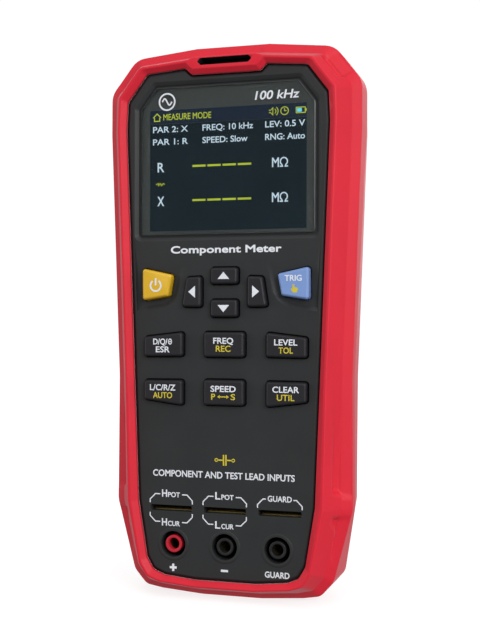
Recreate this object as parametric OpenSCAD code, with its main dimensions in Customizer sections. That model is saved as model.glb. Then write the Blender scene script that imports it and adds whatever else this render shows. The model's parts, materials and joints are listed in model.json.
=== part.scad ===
// Handheld LCR meter, standing upright with its face towards -Y.
// The origin is at the middle of the underside; X runs to the meter's right, Z up.

/* [Overall] */
// Overall height
body_h = 196; // [196:1:199]
// Overall depth, from the boot's front ridge to its back rim
body_d = 42; // [42:0.5:45]
// Half width of the panel opening beside the display
panel_half_top = 37.4; // [37:0.1:38.5]
// Half width of the panel opening at the waist
panel_half_waist = 34.1; // [34:0.1:35.5]
// Half width of the panel opening above the jacks
panel_half_knee = 32.4; // [32.2:0.1:33.5]

/* [Boot] */
// How far the boot stands out past the panel on each side
boot_side = 9.3; // [9:0.1:10.5]
// How far the boot stands out above the panel
boot_top = 8.8; // [8.6:0.1:9.6]
// How far the boot stands out below the panel
boot_foot = 6.75; // [6.7:0.05:7.5]
// Height of the front ridge over the panel
ridge_h = 2.2; // [2:0.1:2.6]
// Length of the slot in the boot's top tab
strap_slot_w = 20; // [16:1:24]

/* [Display] */
// Width of the clear window
lens_w = 65; // [64:0.5:66]
// Height of the clear window
lens_h = 53.3; // [52.5:0.1:53.6]
// Width of the lit area
screen_w = 57.6; // [55:0.1:58]
// Height of the lit area
screen_h = 43.2; // [41:0.1:43.5]
// Height of the middle of the lit area
screen_z = 151.5; // [151:0.1:152]

/* [Keys] */
// How far a key travels
key_travel = 0.8; // [0.4:0.1:0.9]
// Gap round a key cap
key_gap = 0.35; // [0.3:0.05:0.5]

/* [Jacks] */
// Distance between neighbouring jacks
jack_pitch = 19.05; // [18.8:0.05:19.5]
// Height of the jacks
jack_z = 19; // [18.5:0.1:19.5]
// Diameter of the jack openings in the panel
jack_hole_d = 9.1; // [8.8:0.1:9.4]
// Diameter of the insulated post
jack_post_d = 6.2; // [6:0.1:6.6]
// Diameter of the plug pin that the contact takes
plug_d = 4; // [3.8:0.1:4.2]

/* [Component slots] */
// Length of a component slot
slot_w = 15.3; // [13:0.1:16]
// Height of a component slot
slot_h = 2; // [1.6:0.1:2.4]
// Distance between neighbouring slots
slot_pitch = 19.9; // [19.5:0.1:20.5]
// Height of the slots
slot_z = 31.6; // [31:0.1:32.2]

/* [Stand and battery] */
// Width of the tilt stand
stand_w = 48; // [44:1:50]
// Length of the tilt stand below its hinge
stand_len = 94; // [80:1:96]
// Diameter of a battery cell
cell_d = 18.4; // [17.6:0.1:18.4]
// Length of a battery cell
cell_len = 65; // [60:1:65]

/* [Hidden] */
$fn = 48;

case_grey = [0.20, 0.21, 0.215];
boot_red = [0.80, 0.12, 0.17];
key_black = [0.13, 0.14, 0.145];
key_yellow = [0.86, 0.67, 0.12];
key_blue = [0.42, 0.56, 0.84];
brass_gold = [0.78, 0.62, 0.30];
steel_grey = [0.66, 0.67, 0.69];

// Depths, front to back
front_y = -body_d / 2;
panel_y = front_y + ridge_h;
lip_y = panel_y - 0.6;
shoulder_y = panel_y + 1.25;
wall_in_y = panel_y + 2.6;
bevel_y = panel_y + 4.2;
side_y = panel_y + 8.3;
split_y = -2;
back_y = body_d / 2;
case_back_y = back_y - 2.7;
pocket_y = back_y - 5.4;
case_in_y = pocket_y - 2.6;
fit_gap = 0.25;
board_y = panel_y + 7.5;
board_t = 1.6;
board_back_y = board_y + board_t;
rest_gap = 0.02;

// Heights
panel_top = body_h - boot_top;
panel_foot = boot_foot;
waist_z = 78;
knee_z = 34;
tab_drop = 2.4;

// One half of an outline parallel to the panel opening, grown by side, top and foot. The top
// edge carries a tab that hangs down by tab. The points run from the top down the right.
function half_ring(side, top, foot, tab = 0) = [
    [12.5, panel_top + top - tab],
    [15, panel_top + top],
    [29.5 + 0.8 * side, panel_top - 1.2 + 0.87 * top],
    [panel_half_top - 0.5 + 1.05 * side, panel_top - 10.9 + 0.55 * top],
    [panel_half_top + side, panel_top - 21],
    [panel_half_waist + side, waist_z],
    [panel_half_knee + 1.22 * side, knee_z - 0.2 * foot],
    [29.1 + 0.85 * side, panel_foot + 7.05 - 0.95 * foot],
    [26.6 + 0.63 * side, panel_foot + 2.85 - 1.1 * foot],
    [22.5 + 0.4 * side, panel_foot + 1.15 - foot],
    [11, panel_foot - foot]
];
function mirrored(half) = [for (i = [len(half) - 1:-1:0]) [-half[i][0], half[i][1]]];
function ring(side, top, foot, tab = 0) =
    concat(half_ring(side, top, foot, tab), mirrored(half_ring(side, top, foot, tab)));
function at_depth(outline, y) = [for (p = outline) [p[0], y, p[1]]];

// The side wall turns into the rear chamfer further back at the top and at the foot
function turn_y(z) = z < waist_z / 3
    ? panel_y + 29
    : panel_y + 12.5 + 6.5 * max(0, z - waist_z) / (body_h - waist_z);
function at_turn(outline) = [for (p = outline) [p[0], turn_y(p[1]), p[1]]];

// Skin between rings of equal length; closed joins the last ring to the first, else both
// ends are capped
module skin(rings, closed = false) {
    n = len(rings[0]);
    m = len(rings);
    last = closed ? m - 1 : m - 2;
    sides = [for (i = [0:last]) for (j = [0:n - 1])
        let (a = i * n + j, b = ((i + 1) % m) * n + j,
            c = ((i + 1) % m) * n + (j + 1) % n, d = i * n + (j + 1) % n)
        each [[a, b, c], [a, c, d]]];
    front = [for (j = [0:n - 1]) j];
    back = [for (j = [n - 1:-1:0]) (m - 1) * n + j];
    polyhedron(points = [for (r = rings) each r],
        faces = closed ? sides : concat(sides, [front, back]), convexity = 8);
}

// Extrudes an XZ outline from depth y0 to depth y1
module plate(y0, y1) {
    translate([0, y1, 0])
        rotate([90, 0, 0])
            linear_extrude(y1 - y0)
                children();
}
module rod(x, z, r, y0, y1) {
    plate(y0, y1)
        translate([x, z])
            circle(r);
}
module block(x0, x1, y0, y1, z0, z1) {
    translate([x0, y0, z0])
        cube([x1 - x0, y1 - y0, z1 - z0]);
}
module both_sides() {
    children();
    mirror([1, 0, 0])
        children();
}

// Screws that join the case halves, and screws that hold the board
case_screw_at = [for (sx = [-1, 1]) each [[sx * 24, panel_top - 7.5],
    [sx * jack_pitch / 2, jack_z + 5]]];
board_screw_at = [for (sx = [-1, 1]) each [[sx * 32, 121.8], [sx * 24, 52]]];
boss_r = 3;
board_boss_r = 2.1;
screw_r = 1.4;
board_screw_r = 1;
door_screw_at = [[-12, 134], [12, 134]];

// Key outlines, each a list of corners, and the place of the plunger behind the cap
power_shape = [[-30.5, 116.6], [-19.2, 114.2], [-20.7, 106.7], [-30.4, 105.2]];
left_shape = [[-13.9, 113.3], [-8.4, 113.6], [-8.4, 102.8], [-15.6, 102.9]];
up_shape = [[-4.95, 116.6], [4.95, 116.6], [4.95, 110.8], [-4.95, 110.8]];
down_shape = [[-4.95, 105.4], [4.95, 105.4], [4.95, 99.3], [-4.95, 99.3]];
upper_shape = [[-29.7, 92.3], [-15.2, 94], [-15.2, 85.5], [-29.7, 85.3]];
upper_mid_shape = [[-7.4, 94.1], [7.4, 94.1], [7.4, 85.3], [-7.4, 85.3]];
lower_shape = [[-29.7, 77], [-15.2, 77.1], [-15.2, 68.2], [-29.7, 70.1]];
lower_mid_shape = [[-7.4, 77.4], [7.4, 77.4], [7.4, 68.5], [-7.4, 68.5]];
function flipped(shape) = [for (i = [len(shape) - 1:-1:0]) [-shape[i][0], shape[i][1]]];
key_shapes = [power_shape, flipped(power_shape), up_shape, down_shape, left_shape,
    flipped(left_shape), upper_shape, upper_mid_shape, flipped(upper_shape), lower_shape,
    lower_mid_shape, flipped(lower_shape)];

function middle(shape) = [for (k = [0, 1]) (shape[0][k] + shape[1][k] + shape[2][k] + shape[3][k]) / 4];
// Moves every corner outwards by d along both axes
function grown(shape, d) = [for (p = shape)
    [for (k = [0, 1]) p[k] + d * sign(p[k] - middle(shape)[k])]];
flange_y = wall_in_y + 0.1;
flange_t = 1;
flange_rim = 1;
stem_r = 1.6;
dome_h = 0.4;
stem_end_y = board_y - dome_h - 0.1 - key_travel;
mat_y = flange_y + flange_t + key_travel + 0.4;
mat_t = 0.8;

// Case: its outside steps out from the panel to the split line and back in behind it, under
// the boot. Each step is [growth of the side, top and foot, depth where it starts].
case_side = 6.2;
case_top = 5.8;
case_foot = 3.9;
wall_t = 2;
step_wall = 1.5;
front_steps = [[1.4, 1.2, 1, shoulder_y], [3.6, 3, 2.6, panel_y + 5.8],
    [case_side, case_top, case_foot, panel_y + 10.2]];
rear_steps = [[case_side, case_top, case_foot, split_y], [4.9, 4.6, 3.4, 2],
    [3.6, 3.4, 2.6, 8], [1.6, 1.6, 1.2, case_back_y - 4]];
function step_ring(s, g = 0) = ring(s[0] + g, s[1] + g, s[2] + g);
function case_rim(g) = ring(case_side + g, case_top + g, case_foot + g);

// Fills from each step's start to the next one's, and the last one's to end_y
module steps(list, grow, end_y, shift = 0) {
    for (i = [0:len(list) - 1])
        plate(list[i][3] + shift, i < len(list) - 1 ? list[i + 1][3] + shift : end_y)
            polygon(step_ring(list[i], grow));
}

// Collar round each jack opening: its width and its height over the panel
collar_w = 1.1;
collar_h = 0.25;

// Window
lens_foot = screen_z - screen_h / 2 - 1.9;
lens_front_y = panel_y + 0.3;
lens_t = 1;
ledge_y = lens_front_y + lens_t + 0.05;
screen_y = panel_y + 1.5;
glass_half_w = screen_w / 2 + 1.9;
glass_half_h = screen_h / 2 + 0.9;
module_half_w = 33.2;
module_half_h = 24.4;
module_t = 2.4;
function lens_outline(g) = [
    [lens_w / 2 + g, lens_foot - g], [lens_w / 2 + g, lens_foot + lens_h - 7.9 + 0.4 * g],
    [lens_w / 2 - 6.1 + 0.5 * g, lens_foot + lens_h + g],
    [-lens_w / 2 + 6.1 - 0.5 * g, lens_foot + lens_h + g],
    [-lens_w / 2 - g, lens_foot + lens_h - 7.9 + 0.4 * g], [-lens_w / 2 - g, lens_foot - g]
];

// Rear stand, its pocket and its hinge
stand_hinge_z = 140;
stand_hinge_y = pocket_y + 2;
stand_t = 2.2;
stand_knuckle_r = 1.6;
stand_pin_r = 1.25;
pin_clearance = 0.05;
pocket_half_w = stand_w / 2 + 3;
ear_t = 3.6;
door_half_w = 21;
door_z = [58, 139];
battery_z = 61.5;
door_t = 1.3;
door_head_r = 2.4;
door_head_sink = 0.7;

// Charging port in the top end
port_y = panel_y + 12.3;
port_half_w = 8;
port_half_d = 2.9;
port_hole = [6, 2.7];
port_shell = [4.5, 2.1];
cover_hinge_y = port_y + port_half_d;
cover_hinge_z = body_h - 0.2;

module front_case() {
    color(case_grey)
        difference() {
            union() {
                difference() {
                    union() {
                        plate(panel_y, shoulder_y)
                            polygon(ring(-0.35, -0.35, -0.35, tab_drop));
                        steps(front_steps, 0, split_y);
                    }
                    plate(wall_in_y, split_y)
                        polygon(ring(-1, -3.6, -0.8));
                    steps([for (i = [1:2]) front_steps[i]], -wall_t, split_y + 1, step_wall);
                }
                for (p = case_screw_at)
                    rod(p[0], p[1], boss_r, wall_in_y - 1, split_y - 0.1);
                for (p = board_screw_at)
                    rod(p[0], p[1], board_boss_r, wall_in_y - 1, board_y - 0.05);
                for (k = [-1:1])
                    rod(k * jack_pitch, jack_z, jack_hole_d / 2 + collar_w, panel_y - collar_h,
                        wall_in_y);
            }
            plate(panel_y - 1, ledge_y)
                polygon(lens_outline(0.3));
            plate(panel_y - 1, wall_in_y + 1)
                translate([-glass_half_w - 0.3, screen_z - glass_half_h - 0.3])
                    square([2 * glass_half_w + 0.6, 2 * glass_half_h + 0.6]);
            for (s = key_shapes)
                plate(panel_y - 1, wall_in_y + 1)
                    polygon(grown(s, key_gap));
            for (k = [-1:1]) {
                plate(panel_y - 1, wall_in_y + 1)
                    translate([k * slot_pitch - slot_w / 2, slot_z - slot_h / 2])
                        square([slot_w, slot_h]);
                rod(k * jack_pitch, jack_z, jack_hole_d / 2, panel_y - 1, wall_in_y + 1);
            }
            for (p = case_screw_at)
                rod(p[0], p[1], screw_r - 0.2, split_y - 9, split_y + 1);
            for (p = board_screw_at)
                rod(p[0], p[1], board_screw_r - 0.15, wall_in_y, board_y + 1);
            port_opening();
        }
}

module port_opening() {
    block(-port_hole[0], port_hole[0], port_y - port_hole[1], port_y + port_hole[1],
        panel_top, body_h);
}

module rear_case() {
    pocket_z = [stand_hinge_z - stand_len - 3, stand_hinge_z + 4];
    color(case_grey)
        difference() {
            union() {
                difference() {
                    steps(rear_steps, 0, case_back_y);
                    steps([for (i = [0:2]) rear_steps[i]], -wall_t, case_in_y, -step_wall);
                }
                for (p = case_screw_at)
                    rod(p[0], p[1], boss_r + 1.4, split_y, case_in_y + 0.5);
                for (p = door_screw_at)
                    rod(p[0], p[1], 2.6, case_in_y - 6, case_in_y + 0.5);
            }
            block(-pocket_half_w, pocket_half_w, pocket_y, back_y + 1, pocket_z[0], pocket_z[1]);
            block(-door_half_w - 0.3, door_half_w + 0.3, pocket_y - door_t - 0.05, back_y,
                door_z[0] - 0.3, door_z[1] + 0.3);
            block(-cell_d - 1.5, cell_d + 1.5, case_in_y - 1, back_y,
                battery_z - 1, battery_z + cell_len + 2);
            for (p = case_screw_at) {
                rod(p[0], p[1], screw_r + 0.3, split_y - 1, back_y);
                rod(p[0], p[1], boss_r + 0.2, split_y + 9, back_y);
            }
            for (p = door_screw_at)
                rod(p[0], p[1], screw_r - 0.3, case_in_y - 5, back_y);
            stand_pin_hole();
            port_opening();
        }
    color(case_grey)
        both_sides()
            difference() {
                block(pocket_half_w + 0.3, pocket_half_w + 0.3 + ear_t, case_back_y - 1,
                    back_y - 0.8, stand_hinge_z - 3.5, stand_hinge_z + 3.5);
                stand_pin_hole();
            }
}

module stand_pin_hole() {
    translate([-pocket_half_w - 3, stand_hinge_y, stand_hinge_z])
        rotate([0, 90, 0])
            cylinder(r = stand_pin_r + pin_clearance, h = 2 * pocket_half_w + 6);
}

module boot() {
    back_lip_y = back_y - 2.45;
    outside = [
        at_depth(ring(0, 0, 0, tab_drop), lip_y),
        at_depth(ring(2.1, 2, 1.8), front_y),
        at_depth(ring(boot_side - 2.9, boot_top - 3.8, boot_foot - 2.35), bevel_y),
        at_depth(ring(boot_side, boot_top, boot_foot), side_y),
        at_turn(ring(boot_side, boot_top, boot_foot)),
        at_depth(ring(boot_side - 2.9, boot_top - 2.4, boot_foot - 1.35), back_y - 6),
        at_depth(ring(boot_side - 5, boot_top - 4.6, boot_foot - 3.2), back_y - 0.9),
        at_depth(ring(boot_side - 6.8, boot_top - 6.4, boot_foot - 4.8), back_y)
    ];
    inside = [
        at_depth(ring(-4, -4, -4), back_y),
        at_depth(ring(-4, -4, -4), back_lip_y),
        at_depth(ring(1.6 + fit_gap, 1.6 + fit_gap, 1.2 + fit_gap), back_lip_y),
        at_depth(step_ring(rear_steps[2], 0.3), rear_steps[3][3]),
        at_depth(case_rim(0.3), rear_steps[1][3]),
        at_depth(case_rim(0.3), front_steps[2][3] - fit_gap),
        at_depth(step_ring(front_steps[1], 0.3), front_steps[1][3] - fit_gap),
        at_depth(step_ring(front_steps[0], 0.3), shoulder_y - fit_gap),
        at_depth(ring(0, 0, 0, tab_drop), shoulder_y - fit_gap)
    ];
    slot_mid_z = panel_top + 1.6;
    color(boot_red)
        difference() {
            skin(concat(outside, inside), closed = true);
            plate(front_y - 1, panel_y + 5.8)
                polygon([for (s = [-1, 1]) each [
                    [s * (strap_slot_w / 2 - 1.3), slot_mid_z - s * 1.25],
                    [s * strap_slot_w / 2, slot_mid_z],
                    [s * (strap_slot_w / 2 - 1.3), slot_mid_z + s * 1.25]]]);
            block(-port_half_w - 0.3, port_half_w + 0.3, port_y - port_half_d - 0.45,
                port_y + port_half_d + 0.3, panel_top, body_h + 1);
        }
}

module lens() {
    color([0.25, 0.28, 0.30, 0.5])
        plate(lens_front_y, lens_front_y + lens_t)
            polygon(lens_outline(0));
}

module display_panel() {
    color([0.05, 0.10, 0.13]) {
        block(-glass_half_w, glass_half_w, screen_y, flange_y + 0.05,
            screen_z - glass_half_h, screen_z + glass_half_h);
        block(-module_half_w, module_half_w, flange_y, flange_y + module_t,
            screen_z - module_half_h, screen_z + module_half_h);
    }
}

module display_frame() {
    color(steel_grey)
        difference() {
            block(-module_half_w, module_half_w, flange_y + module_t + 0.05, board_y - 0.05,
                screen_z - module_half_h, screen_z + module_half_h);
            block(4 - module_half_w, module_half_w - 4, flange_y, board_y + 1,
                screen_z + 4 - module_half_h, screen_z - 4 + module_half_h);
        }
}

// A strip that leaves the display module's lower edge and bends back down to the board
module display_flex() {
    flex_w = 20;
    flex_t = 0.3;
    exit_z = screen_z - module_half_h - 0.05;
    front = flange_y + 1.2;
    back = board_y - 0.6;
    color([0.75, 0.45, 0.12])
        translate([-flex_w / 2, 0, 0])
            rotate([90, 0, 90])
                linear_extrude(flex_w)
                    polygon([[front, exit_z], [front + flex_t, exit_z], [front + flex_t, exit_z - 3],
                        [back, exit_z - 7], [back, exit_z - 9], [back - flex_t, exit_z - 9],
                        [back - flex_t, exit_z - 7.2], [front, exit_z - 3.2]]);
}

// Silicone sheet that stands on the board on short feet between the keys
module keypad_mat() {
    mat_half_w = 31;
    mat_z = [65, 117.5];
    color([0.35, 0.36, 0.38])
        difference() {
            union() {
                block(-mat_half_w, mat_half_w, mat_y, mat_y + mat_t, mat_z[0], mat_z[1]);
                for (x = [-26, -11, 11, 26])
                    for (z = [81, 97])
                        rod(x, z, 1.2, mat_y, board_y - 0.05);
            }
            for (s = key_shapes)
                rod(middle(s)[0], middle(s)[1], stem_r + 0.4, mat_y - 1, mat_y + mat_t + 1);
        }
}

module snap_domes() {
    color(steel_grey)
        for (s = key_shapes)
            translate([middle(s)[0], board_y - 0.02, middle(s)[1]])
                rotate([90, 0, 0])
                    cylinder(r1 = 2.3, r2 = 1.2, h = dome_h);
}

// A key: cap through the panel, retaining flange behind it, and a stem to the snap dome
module key(shape, tint) {
    color(tint) {
        plate(front_y, flange_y + 0.01)
            polygon(shape);
        plate(flange_y, flange_y + flange_t)
            polygon(grown(shape, flange_rim));
        rod(middle(shape)[0], middle(shape)[1], stem_r, flange_y + flange_t - 0.01, stem_end_y);
    }
}
module key_power() {
    key(power_shape, key_yellow);
}
module key_trig() {
    key(flipped(power_shape), key_blue);
}
module key_up() {
    key(up_shape, key_black);
}
module key_down() {
    key(down_shape, key_black);
}
module key_left() {
    key(left_shape, key_black);
}
module key_right() {
    key(flipped(left_shape), key_black);
}
module key_quality() {
    key(upper_shape, key_black);
}
module key_frequency() {
    key(upper_mid_shape, key_black);
}
module key_level() {
    key(flipped(upper_shape), key_black);
}
module key_mode() {
    key(lower_shape, key_black);
}
module key_speed() {
    key(lower_mid_shape, key_black);
}
module key_clear() {
    key(flipped(lower_shape), key_black);
}

module main_board() {
    color([0.08, 0.36, 0.16])
        difference() {
            plate(board_y, board_back_y)
                polygon(ring(-0.6, -1, -1.5));
            for (p = case_screw_at)
                rod(p[0], p[1], boss_r + 0.6, board_y - 1, board_back_y + 1);
            for (p = board_screw_at)
                rod(p[0], p[1], board_screw_r + 0.2, board_y - 1, board_back_y + 1);
            for (k = [-1:1])
                rod(k * jack_pitch, jack_z, jack_hole_d / 2 + 1.3, board_y - 1, board_back_y + 1);
        }
}

module board_screws() {
    color(steel_grey)
        for (p = board_screw_at) {
            rod(p[0], p[1], 2, board_back_y + rest_gap, board_back_y + 1.2);
            rod(p[0], p[1], board_screw_r - 0.2, board_y - 3, board_back_y + 0.05);
        }
}

// What is mounted on the back of the board rests on it with rest_gap between them
module on_board(x, z, w, h, t) {
    block(x - w / 2, x + w / 2, board_back_y + rest_gap, board_back_y + t, z - h / 2, z + h / 2);
}

module shield_can() {
    color(steel_grey)
        on_board(0, 79, 28, 26, 2.6);
}

// Converter, two amplifiers, memory, and a storage capacitor at each side
module board_chips() {
    chips = [[-2, 107, 14, 14, 1.5], [-21, 86.5, 6, 5, 1.6], [21, 72.5, 6, 5, 1.6],
        [0, 150, 12, 8, 1.2]];
    capacitor_at = [-26, 26];
    color([0.10, 0.10, 0.11]) {
        for (c = chips)
            on_board(c[0], c[1], c[2], c[3], c[4]);
        for (x = capacitor_at)
            rod(x, 104, 3.1, board_back_y + rest_gap, board_back_y + 5.4);
    }
}

module range_relays() {
    relay_pitch = 13;
    color([0.92, 0.92, 0.88])
        for (k = [-1:1])
            on_board(k * relay_pitch, 43.5, 10, 15, 5.4);
}

module buzzer() {
    buzzer_at = [24, 152];
    color([0.12, 0.12, 0.13])
        difference() {
            rod(buzzer_at[0], buzzer_at[1], 6, board_back_y + rest_gap, board_back_y + 4.5);
            rod(buzzer_at[0], buzzer_at[1], 1, board_back_y + 2, board_back_y + 5);
        }
}

module usb_socket() {
    shell_t = 0.6;
    foot_z = panel_top - 8;
    color(steel_grey)
        difference() {
            union() {
                block(-port_shell[0], port_shell[0], port_y - port_shell[1],
                    port_y + port_shell[1], foot_z, panel_top + 1);
                block(-port_shell[0], port_shell[0], board_back_y + rest_gap,
                    port_y - port_shell[1] + 0.1, foot_z, panel_top - 2);
            }
            block(shell_t - port_shell[0], port_shell[0] - shell_t,
                port_y - port_shell[1] + shell_t, port_y + port_shell[1] - shell_t,
                foot_z + 2, panel_top + 2);
        }
}

// The cover's front lower edge is cut back so that it can swing out past the boot
module port_cover() {
    front_edge_y = port_y - port_half_d;
    color(boot_red)
        translate([-port_half_w, 0, 0])
            rotate([90, 0, 90])
                linear_extrude(2 * port_half_w)
                    polygon([[cover_hinge_y, cover_hinge_z], [cover_hinge_y, body_h - 2.7],
                        [front_edge_y + 0.8, body_h - 2.7], [front_edge_y, body_h - 0.9],
                        [front_edge_y, cover_hinge_z]]);
    color(boot_red)
        block(-4, 4, port_y - 1.1, port_y + 1.1, body_h - 3.9, body_h - 2.69);
}

module slot_block() {
    color([0.09, 0.09, 0.10])
        difference() {
            block(-slot_pitch - slot_w / 2 - 1.2, slot_pitch + slot_w / 2 + 1.2, flange_y,
                board_y - 0.05, slot_z - 3.9, slot_z + 3.9);
            for (k = [-1:1])
                block(k * slot_pitch - slot_w / 2, k * slot_pitch + slot_w / 2, flange_y - 1,
                    board_y - 1, slot_z - 2.6, slot_z + 2.6);
        }
}

// Each slot has an upper and a lower leaf that bow towards each other
module slot_contacts() {
    leaf_t = 0.3;
    leaf_y = [flange_y + 0.4, flange_y + 1.8, board_y - 1.05];
    color(brass_gold)
        for (k = [-1:1])
            for (up = [-1, 1])
                translate([k * slot_pitch - slot_w / 2 + 0.3, 0, slot_z])
                    rotate([90, 0, 90])
                        linear_extrude(slot_w - 0.6)
                            polygon([[leaf_y[0], up * 1.6], [leaf_y[1], up * 0.3],
                                [leaf_y[2], up * 2.2], [leaf_y[2], up * (2.2 + leaf_t)],
                                [leaf_y[1], up * (0.3 + leaf_t)], [leaf_y[0], up * (1.6 + leaf_t)]]);
}

// Shrouded socket: a sleeve behind the panel and an insulated post, with a ring-shaped space
// for the plug's shroud between them and the contact inside the post
jack_end_y = panel_y + 22;
contact_front_y = panel_y + 2.8;
contact_r = plug_d / 2 + 0.6;
module jack(place, tint) {
    x = place * jack_pitch;
    color(tint)
        difference() {
            union() {
                rod(x, jack_z, jack_hole_d / 2 + 1, flange_y, jack_end_y);
                rod(x, jack_z, jack_post_d / 2, panel_y + 0.3, jack_end_y);
            }
            difference() {
                rod(x, jack_z, jack_hole_d / 2, flange_y - 1, jack_end_y - 2);
                rod(x, jack_z, jack_post_d / 2, flange_y - 2, jack_end_y);
            }
            rod(x, jack_z, plug_d / 2, panel_y - 1, jack_end_y);
            rod(x, jack_z, contact_r + 0.02, contact_front_y, jack_end_y + 1);
        }
}
module jack_plus() {
    jack(-1, [0.72, 0.10, 0.13]);
}
module jack_minus() {
    jack(0, [0.06, 0.06, 0.065]);
}
module jack_guard() {
    jack(1, [0.06, 0.06, 0.065]);
}
module jack_contacts() {
    color(brass_gold)
        for (k = [-1:1])
            difference() {
                rod(k * jack_pitch, jack_z, contact_r, contact_front_y + 0.05, jack_end_y + 3);
                rod(k * jack_pitch, jack_z, plug_d / 2, contact_front_y - 1, jack_end_y - 2);
            }
}

module battery_pack() {
    cell_y = case_in_y - cell_d / 2 - 0.2;
    color([0.16, 0.34, 0.62]) {
        for (x = [-1, 1])
            translate([x * (cell_d / 2 + 0.2), cell_y, battery_z])
                cylinder(r = cell_d / 2, h = cell_len);
        block(-3, 3, cell_y - 4, cell_y + 4, battery_z, battery_z + cell_len);
    }
}

module battery_connector() {
    color([0.93, 0.92, 0.86])
        on_board(-14, 133, 8, 6, 5);
}

module battery_door() {
    color(case_grey)
        difference() {
            union() {
                block(-door_half_w, door_half_w, pocket_y - door_t, pocket_y - 0.02,
                    door_z[0], door_z[1]);
                block(-12, 12, pocket_y - door_t - 1, pocket_y - door_t + 0.1, 61, 62.2);
            }
            for (p = door_screw_at) {
                rod(p[0], p[1], screw_r, pocket_y - 4, back_y);
                rod(p[0], p[1], door_head_r + 0.3, pocket_y - door_head_sink, back_y);
            }
        }
}

module battery_door_screws() {
    color(steel_grey)
        for (p = door_screw_at)
            screw(p, 1, pocket_y - door_head_sink, door_head_r, 0.8, case_in_y - 4);
}

module case_screws() {
    color(steel_grey)
        for (p = case_screw_at)
            screw(p, screw_r - 0.25, split_y + 9.05, 2.8, 1.6, split_y - 8);
}

// Pan head with a cross slot at depth head_y, shank running forwards to tip_y
module screw(place, shank_r, head_y, head_r, head_h, tip_y) {
    difference() {
        rod(place[0], place[1], head_r, head_y, head_y + head_h);
        for (turn = [0, 90])
            translate([place[0], head_y + head_h, place[1]])
                rotate([0, turn, 0])
                    cube([head_r * 1.3, head_h, head_r / 4], center = true);
    }
    rod(place[0], place[1], shank_r, tip_y, head_y + 0.05);
}

// Plate with a finger notch in its foot, a knuckle along its top and a stub pin at each end
module tilt_stand() {
    foot_z = stand_hinge_z - stand_len;
    inner_y = pocket_y + 0.4;
    notch_r = 9;
    color(case_grey)
        difference() {
            plate(inner_y, inner_y + stand_t)
                polygon([[-stand_w / 2, stand_hinge_z - 1], [stand_w / 2, stand_hinge_z - 1],
                    [stand_w / 2 - 3, foot_z + 4], [stand_w / 2 - 7, foot_z],
                    [-stand_w / 2 + 7, foot_z], [-stand_w / 2 + 3, foot_z + 4]]);
            rod(0, foot_z - notch_r / 2, notch_r, inner_y - 1, inner_y + stand_t + 1);
        }
    color(case_grey)
        translate([-stand_w / 2, stand_hinge_y, stand_hinge_z])
            rotate([0, 90, 0])
                cylinder(r = stand_knuckle_r, h = stand_w);
    color(case_grey)
        translate([-pocket_half_w - 2.6, stand_hinge_y, stand_hinge_z])
            rotate([0, 90, 0])
                cylinder(r = stand_pin_r, h = 2 * pocket_half_w + 5.2);
}

module rating_label() {
    label_half_w = 22;
    label_z = [151, 175];
    color([0.80, 0.81, 0.82])
        block(-label_half_w, label_half_w, case_back_y + rest_gap, case_back_y + 0.25,
            label_z[0], label_z[1]);
}

front_case();
rear_case();
boot();
lens();
display_panel();
display_frame();
display_flex();
keypad_mat();
snap_domes();
key_power();
key_trig();
key_up();
key_down();
key_left();
key_right();
key_quality();
key_frequency();
key_level();
key_mode();
key_speed();
key_clear();
main_board();
board_screws();
shield_can();
board_chips();
range_relays();
buzzer();
usb_socket();
port_cover();
slot_block();
slot_contacts();
jack_plus();
jack_minus();
jack_guard();
jack_contacts();
battery_pack();
battery_connector();
battery_door();
battery_door_screws();
case_screws();
tilt_stand();
rating_label();
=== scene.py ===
import json
import math

import bmesh
import bpy
from mathutils import Matrix, Vector
from mathutils.geometry import delaunay_2d_cdt, interpolate_bezier


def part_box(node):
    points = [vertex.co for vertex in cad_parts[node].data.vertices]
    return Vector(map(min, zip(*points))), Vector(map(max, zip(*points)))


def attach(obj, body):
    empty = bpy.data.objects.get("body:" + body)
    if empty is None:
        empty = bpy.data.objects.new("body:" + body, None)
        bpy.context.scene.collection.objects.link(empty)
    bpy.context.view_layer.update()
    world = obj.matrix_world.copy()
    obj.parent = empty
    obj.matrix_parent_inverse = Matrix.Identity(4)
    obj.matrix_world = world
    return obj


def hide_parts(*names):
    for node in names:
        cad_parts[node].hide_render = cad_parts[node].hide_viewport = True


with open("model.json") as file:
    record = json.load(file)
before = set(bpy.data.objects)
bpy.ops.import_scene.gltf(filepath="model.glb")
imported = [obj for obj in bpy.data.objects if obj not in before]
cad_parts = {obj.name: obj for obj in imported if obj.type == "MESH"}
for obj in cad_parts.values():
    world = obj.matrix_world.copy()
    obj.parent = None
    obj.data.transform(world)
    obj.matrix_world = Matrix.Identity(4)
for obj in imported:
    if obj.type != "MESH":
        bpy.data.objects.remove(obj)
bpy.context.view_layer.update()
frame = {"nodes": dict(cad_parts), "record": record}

# The handheld LCR meter's looks. Sizes are in millimetres in the CAD frame: X to the meter's
# right, -Y towards the reader, Z up. MM turns them into metres when a mesh is made.
MM = 0.001


def box_mm(node):
    low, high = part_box(node)
    return low / MM, high / MM


def middle_mm(node):
    low, high = box_mm(node)
    return (low + high) / 2


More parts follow.
